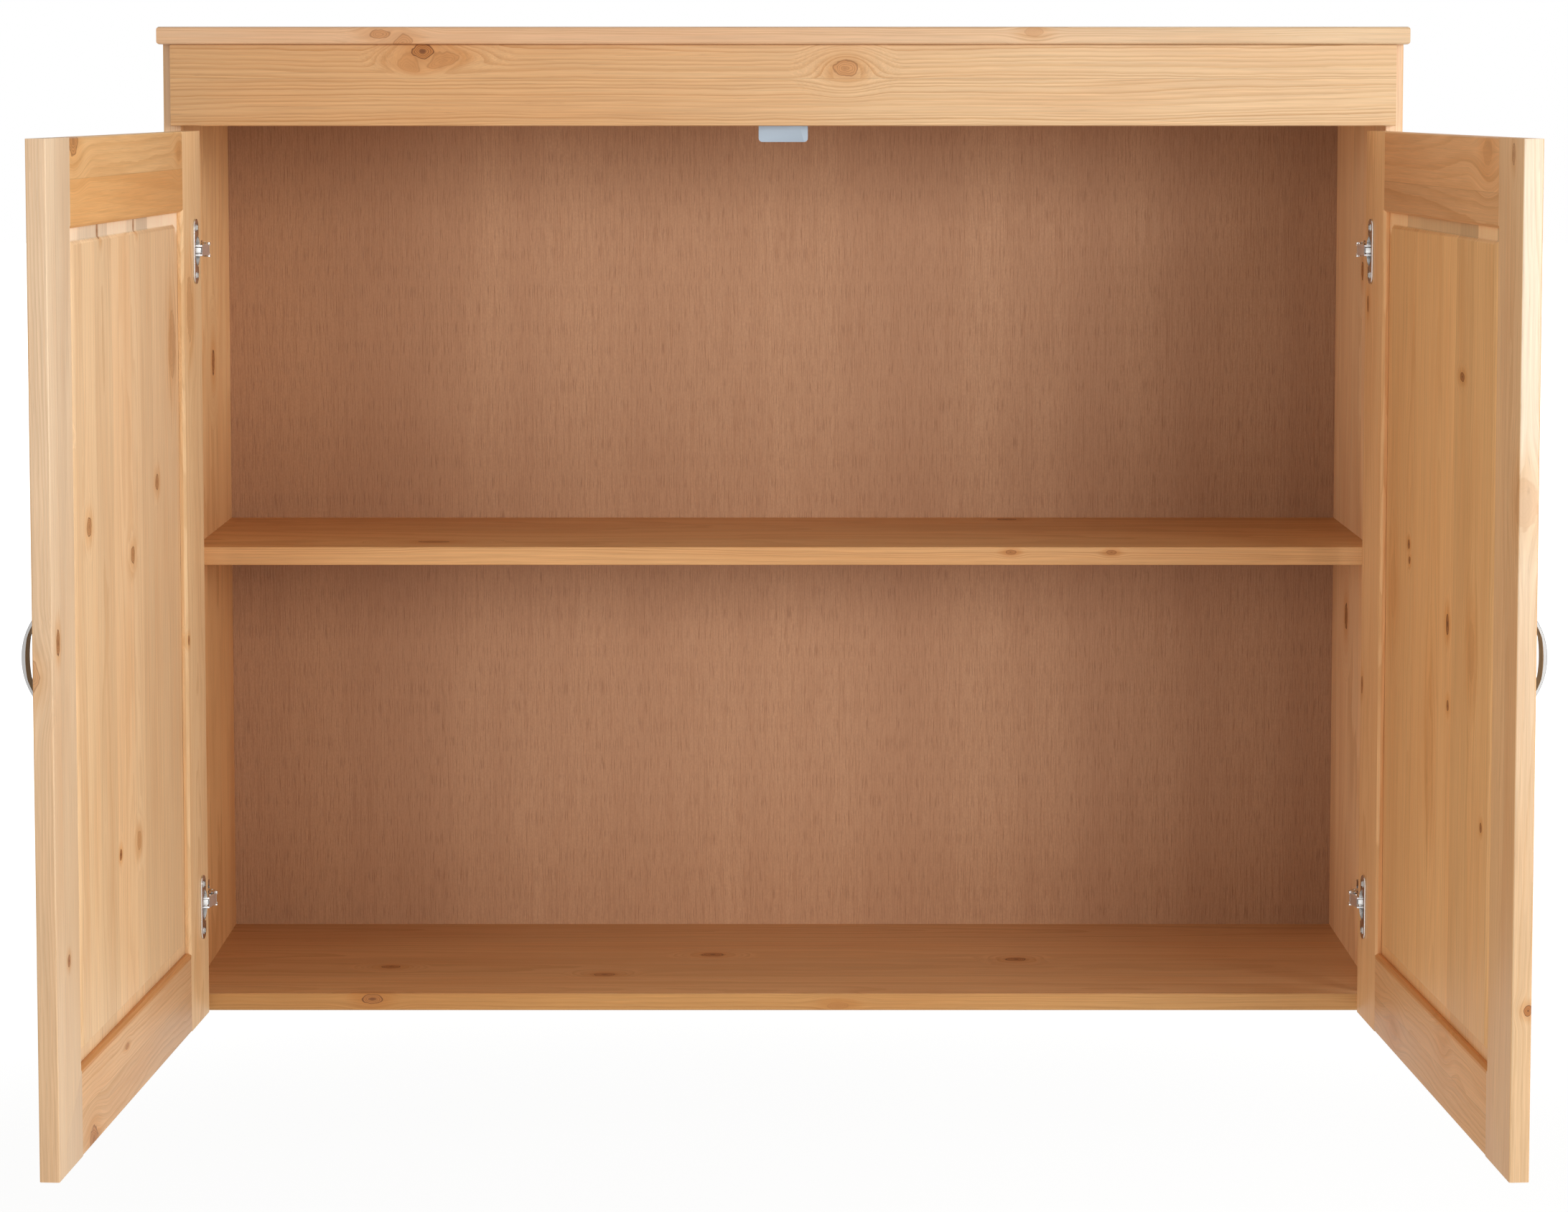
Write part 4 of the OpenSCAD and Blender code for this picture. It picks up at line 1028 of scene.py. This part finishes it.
# %% Place the fixings
for side, mirror in MIRROR.items():
    fixings(side + "_hinge_base_screws", Vector((mirror, 0, 0)))
    fixings(side + "_hinge_arm_screws", Vector((mirror, 0, 0)))
    fixings(side + "_hinge_cup_screws", door_axis(side, False))
    fixings(side + "_handle_screws", door_axis(side, True))
fixings("door_stop_screws", Vector((0, 1, 0)))
fixings("back_panel_nails", Vector((0, 1, 0)), cross=False)

# %% [markdown]
# ## Bow handles
# A handle is a cast bow of pewter between two flat feet that take the screws. Its outer side is an
# arc through both feet and the top, and its inner side is a flatter arc, so the bow is thickest in
# the middle. That is a rule, so a second tree makes it. A bar with many slices is bent between the
# two arcs, its section gets nearly flat sides with round corners, and the feet are joined on.

# %% Sockets of the handle tree
handle_tree, handle_in, handle_out = group_tree("bow_handle", "GeometryNodeTree", [
    ("Start", "Geometry"), ("Length", "Float", 0.074), ("Height", "Float", 0.0165),
    ("Width", "Float", 0.011), ("Middle thickness", "Float", 0.0042), ("Foot thickness", "Float", 0.003),
    ("Inner radius", "Float", 0.106), ("Pad thickness", "Float", 0.0022), ("Pad reach", "Float", 0.0045),
    ("Pad lap", "Float", 0.003), ("Head radius", "Float", 0.0028), ("Head height", "Float", 0.0012),
    ("Hole radius", "Float", 0.0014), ("Centre", "Vector"), ("Turn", "Vector"), ("Finish", "Material"),
], [("Handle", "Geometry")])
print(handle_tree.name, "has", len(handle_tree.interface.items_tree), "sockets")


# %% The bow's two arcs
def bow_arcs(tree, given, share):
    """A place on the inner and one on the outer arc, at a share from -1 to 1 of the bow's length."""
    half = calc(tree, "MULTIPLY", given["Length"], 0.5)
    height, flat = given["Height"], given["Inner radius"]
    squares = calc(tree, "MULTIPLY_ADD", half, half, calc(tree, "MULTIPLY", height, height))
    outer = calc(tree, "DIVIDE", squares, calc(tree, "MULTIPLY", height, 2.0))
    drop = calc(tree, "SUBTRACT", outer, height)
    inner = calc(tree, "SUBTRACT", outer, given["Foot thickness"])
    offset = calc(tree, "SUBTRACT", calc(tree, "SUBTRACT", outer, given["Middle thickness"]), flat)
    outer_angle = calc(tree, "MULTIPLY", share, calc(tree, "ARCSINE", calc(tree, "DIVIDE", half, outer)))
    inner_angle = calc(tree, "MULTIPLY", share, calc(tree, "ARCCOSINE", calc(tree, "DIVIDE", drop, inner)))
    # the inner arc has its own centre, so its distance from the outer one's centre is worked out
    cosine, sine = calc(tree, "COSINE", inner_angle), calc(tree, "SINE", inner_angle)
    side = calc(tree, "MULTIPLY", offset, sine)
    root = calc(tree, "SUBTRACT", calc(tree, "MULTIPLY", flat, flat), calc(tree, "MULTIPLY", side, side))
    near = calc(tree, "MINIMUM", inner, calc(tree, "MULTIPLY_ADD", offset, cosine, calc(tree, "SQRT", root)))
    inside = combine(tree, calc(tree, "MULTIPLY", near, sine),
                     z=calc(tree, "SUBTRACT", calc(tree, "MULTIPLY", near, cosine), drop))
    rise = calc(tree, "MULTIPLY", outer, calc(tree, "COSINE", outer_angle))
    outside = combine(tree, calc(tree, "MULTIPLY", outer, calc(tree, "SINE", outer_angle)),
                      z=calc(tree, "SUBTRACT", rise, drop))
    return inside, outside


# %% The bow
SECTION_TURN = 1.38


def bent_bar(tree, given, at):
    """The bow: a sliced bar whose ends lie on the door and whose middle stands off it."""
    inside, outside = bow_arcs(tree, given, at[0])
    edge = calc(tree, "SINE", calc(tree, "MULTIPLY", at[1], SECTION_TURN))
    # nearly flat sides and round corners: width and height to the fourth power add up to one
    square = calc(tree, "MULTIPLY", edge, edge)
    fourth = calc(tree, "MULTIPLY", square, square)
    bulge = calc(tree, "SQRT", calc(tree, "SQRT", calc(tree, "SUBTRACT", 1.0, fourth)))
    share = calc(tree, "MULTIPLY_ADD", at[2], bulge, 0.5)
    spine = add_node(tree, "ShaderNodeMix", {0: share, 4: inside, 5: outside}, data_type="VECTOR").outputs[1]
    half_width = calc(tree, "MULTIPLY", given["Width"], 0.5 / math.sin(SECTION_TURN))
    across = combine(tree, y=calc(tree, "MULTIPLY", edge, half_width))
    bar = add_node(tree, "GeometryNodeMeshCube", {
        "Size": (2.0, 2.0, 1.0), "Vertices X": 73, "Vertices Y": 15, "Vertices Z": 2})
    return add_node(tree, "GeometryNodeSetPosition", {
        "Geometry": bar.outputs["Mesh"], "Position": vector_calc(tree, "ADD", spine, across),
    }).outputs["Geometry"]


# %% The feet and the whole handle
def foot_pad(tree, given, at):
    """One foot: a disc drawn out towards the bow, with its top edge eased and a hole for its screw."""
    thick = given["Pad thickness"]
    straight = calc(tree, "ADD", given["Pad reach"], given["Pad lap"])
    disc = cylinder(tree, 48, calc(tree, "MULTIPLY", given["Width"], 0.5), thick, **{"Side Segments": 4})
    shrink = step(tree, calc(tree, "DIVIDE", at[2], thick), 0.26, 0.5, 1.0, 0.93)
    x = calc(tree, "MULTIPLY", at[0], shrink)
    drawn = calc(tree, "SUBTRACT", calc(tree, "MULTIPLY", x, 0.12), straight)
    past = calc(tree, "LESS_THAN", at[0], -SIZE_STEP)
    x = calc(tree, "ADD", x, calc(tree, "MULTIPLY", past, calc(tree, "SUBTRACT", drawn, x)))
    pad = add_node(tree, "GeometryNodeSetPosition", {"Geometry": disc, "Position": combine(
        tree, x, calc(tree, "MULTIPLY", at[1], shrink), calc(tree, "MULTIPLY_ADD", thick, 0.5, at[2]))})
    hole = cylinder(tree, 32, given["Hole radius"], calc(tree, "MULTIPLY", thick, 4.0))
    recess = cylinder(tree, 32, given["Head radius"], calc(tree, "MULTIPLY", given["Head height"], 2.0))
    cut = boolean(tree, "DIFFERENCE", (hole, moved(tree, recess, z=thick)), pad.outputs["Geometry"], "EXACT")
    return moved(tree, cut, x=calc(tree, "MULTIPLY_ADD", given["Length"], 0.5, given["Pad reach"]))


def build_handle_tree():
    tree, given = handle_tree, handle_in.outputs
    at = split(tree, add_node(tree, "GeometryNodeInputPosition").outputs["Position"])
    pad = foot_pad(tree, given, at)
    other = add_node(tree, "GeometryNodeTransform", {"Geometry": pad, "Rotation": (0.0, 0.0, math.pi)})
    shapes = (bent_bar(tree, given, at), pad, other.outputs["Geometry"])
    whole = boolean(tree, "UNION", shapes, solver="EXACT")
    placed = add_node(tree, "GeometryNodeTransform", {
        "Geometry": whole, "Translation": given["Centre"], "Rotation": given["Turn"]})
    end_tree(tree, placed.outputs["Geometry"], given["Finish"], handle_out)


build_handle_tree()
print("handle tree has", len(handle_tree.nodes), "nodes")

# %% [markdown]
# ## The handles on the doors
# Both handles sit at the same place of their door, measured from the hinge edge, and that place
# is turned out with the open door. Each new box is printed beside the one it stands in for.

# %% Place the handles
DOOR_WIDTH = 0.4885
DOOR_THICKNESS = 0.014
HANDLE_INSET = 0.038
HANDLE_LEVEL = 0.3595
HANDLE_PLACE = Vector((DOOR_WIDTH - HANDLE_INSET, -DOOR_THICKNESS, HANDLE_LEVEL))


def door_point(side, place):
    """A point of a door, given in the door's own measure, in the frame where the doors stand open."""
    point = Matrix.Rotation(-OPEN_ANGLE, 3, "Z") @ place + HINGE_CORNER - CASE_ORIGIN
    point.x *= MIRROR[side]
    return point


def box_of(thing):
    places = [v.co for v in thing.data.vertices]
    return [[round(pick(p[i] for p in places), 4) for i in range(3)] for pick in (min, max)]


for side in MIRROR:
    node = side + "_handle"
    up, off = Vector((0, 0, 1)), door_axis(side, True)
    turn = Matrix((up, off.cross(up), off)).transposed().to_euler()
    made = add_object(node + "_bow", bpy.data.meshes.new(node + "_bow"))
    run_tree(made, handle_tree, {"Centre": door_point(side, HANDLE_PLACE), "Turn": turn, "Finish": pewter})
    shade_round(made, TREE_CREASE)
    stand_in(made, node)
    print(node, box_of(frame["nodes"][node]), box_of(made))

# %% [markdown]
# ## Floor and surround
# The background is plain white. The floor lies well below the cupboard, which hangs on a wall,
# and takes its soft shadow. Floor and surround look white to the camera and to a mirror, by way
# of Light Path, and give only an even, weaker light to the cupboard itself. Near the cupboard
# the floor is less white than further off, so that the shadow stays.

# %% Floor
FLOOR_Z = -1.35
FLOOR_HALF = 30
floor_mesh = bpy.data.meshes.new("studio_floor")
corners = [(x * FLOOR_HALF, y * FLOOR_HALF, FLOOR_Z) for x, y in ((-1, -1), (1, -1), (1, 1), (-1, 1))]
floor_mesh.from_pydata(corners, [], [(0, 1, 2, 3)])
floor = add_object("studio_floor", floor_mesh)
print("floor at", FLOOR_Z)

# %% Floor finish
FLOOR_GREY = (0.86, 0.86, 0.86, 1)
FLOOR_GLOW = 1.36
SHADOW_FADE = (1.6, 4.5)
SHADOW_GLOW_SHARE = 0.6
WHITE = (1, 1, 1, 1)


def seen_rays(tree):
    """1 for a ray from the camera, a mirror or glass, and 0 for light that falls on things."""
    path = add_node(tree, "ShaderNodeLightPath").outputs
    straight = calc(tree, "MAXIMUM", path["Is Camera Ray"], path["Is Glossy Ray"])
    return calc(tree, "MAXIMUM", straight, path["Is Transmission Ray"])


def floor_finish():
    made, tree, _ = new_material("pale_floor")
    tree.nodes.clear()
    matt = add_node(tree, "ShaderNodeBsdfDiffuse", {"Color": FLOOR_GREY})
    glow = add_node(tree, "ShaderNodeEmission", {"Color": WHITE, "Strength": FLOOR_GLOW})
    place = add_node(tree, "ShaderNodeTexCoord").outputs["Object"]
    away = vector_calc(tree, "LENGTH", vector_calc(tree, "MULTIPLY", place, (1.0, 1.0, 0.0)))
    share = calc(tree, "MULTIPLY", seen_rays(tree), step(tree, away, *SHADOW_FADE, SHADOW_GLOW_SHARE, 1.0))
    both = add_node(tree, "ShaderNodeMixShader", {0: share, 1: matt.outputs[0], 2: glow.outputs[0]})
    add_node(tree, "ShaderNodeOutputMaterial", {"Surface": both.outputs[0]})
    return made


floor_mesh.materials.append(floor_finish())
print("floor finish", floor_mesh.materials[0].name)

# %% Surround
SURROUND = 0.375
world = bpy.data.worlds.new("white_surround")
bpy.context.scene.world = world
world.use_nodes = True
sky = world.node_tree
sky.nodes.clear()
lit = add_node(sky, "ShaderNodeBackground", {"Color": (1.0, 0.99, 0.97, 1), "Strength": SURROUND})
seen = add_node(sky, "ShaderNodeBackground", {"Color": WHITE, "Strength": 1.0})
either = add_node(sky, "ShaderNodeMixShader", {0: seen_rays(sky), 1: lit.outputs[0], 2: seen.outputs[0]})
add_node(sky, "ShaderNodeOutputWorld", {"Surface": either.outputs[0]})
print("surround lights with", SURROUND)

# %% [markdown]
# ## Lamps
# Two soft lamps stand at the front right and a weaker one at the front left, so that the inner
# face of the left door is lit and that of the right door falls a little into shade. The fill is
# not mirrored, so that the left handle stays grey while the right one catches the key light.

# %% Lamps
LIT_MIDDLE = Vector((0, -0.25, -0.35))
LAMP_SIZE = 1.4
WARM_WHITE = (1.0, 0.985, 0.96)


def lamp(name, place, power, color):
    data = bpy.data.lights.new(name, "AREA")
    data.size = LAMP_SIZE
    data.energy = power
    data.color = color
    made = add_object(name, data)
    made.location = place
    made.rotation_euler = (LIT_MIDDLE - Vector(place)).to_track_quat("-Z", "Y").to_euler()
    return made


lamp("key_lamp", (1.6905, -3.8752, 0.5), 52, WARM_WHITE)
lamp("side_lamp", (3.5318, -2.1279, 0.5), 53, WARM_WHITE)
fill = lamp("fill_lamp", (-1.6905, -3.8752, 0.3), 31, (1, 1, 1))
fill.visible_glossy = False

# %% [markdown]
# ## Camera
# The camera stands three metres away at the height of the frieze. It looks a little down, and
# the rest of the way to the cupboard's middle is made with the lens shift, as a product
# photographer does to keep the uprights nearly upright.

# %% Camera
PHOTO_WIDTH = 2184
FOCAL_PIXELS = 5295
AXIS_PIXEL_X = 1081.4
LENS_SHIFT_Y = -0.15
LOOK_DOWN = math.radians(4.232)
CAMERA_PLACE = Vector((-0.0055, -3.0620, 0.7511))
camera_data = bpy.data.cameras.new("camera")
camera_data.sensor_width = 36
camera_data.lens = FOCAL_PIXELS * camera_data.sensor_width / PHOTO_WIDTH
camera_data.shift_x = (PHOTO_WIDTH / 2 - AXIS_PIXEL_X) / PHOTO_WIDTH
camera_data.shift_y = LENS_SHIFT_Y
camera = add_object("camera", camera_data)
camera.location = CAMERA_PLACE - CASE_ORIGIN
camera.rotation_euler = (math.pi / 2 - LOOK_DOWN, 0, 0)
bpy.context.scene.camera = camera
print("lens", round(camera_data.lens, 1), "mm")

# %% [markdown]
# ## Colours as they are
# The Standard view shows a colour as it is written.

# %% Colour handling
bpy.context.scene.view_settings.view_transform = "Standard"
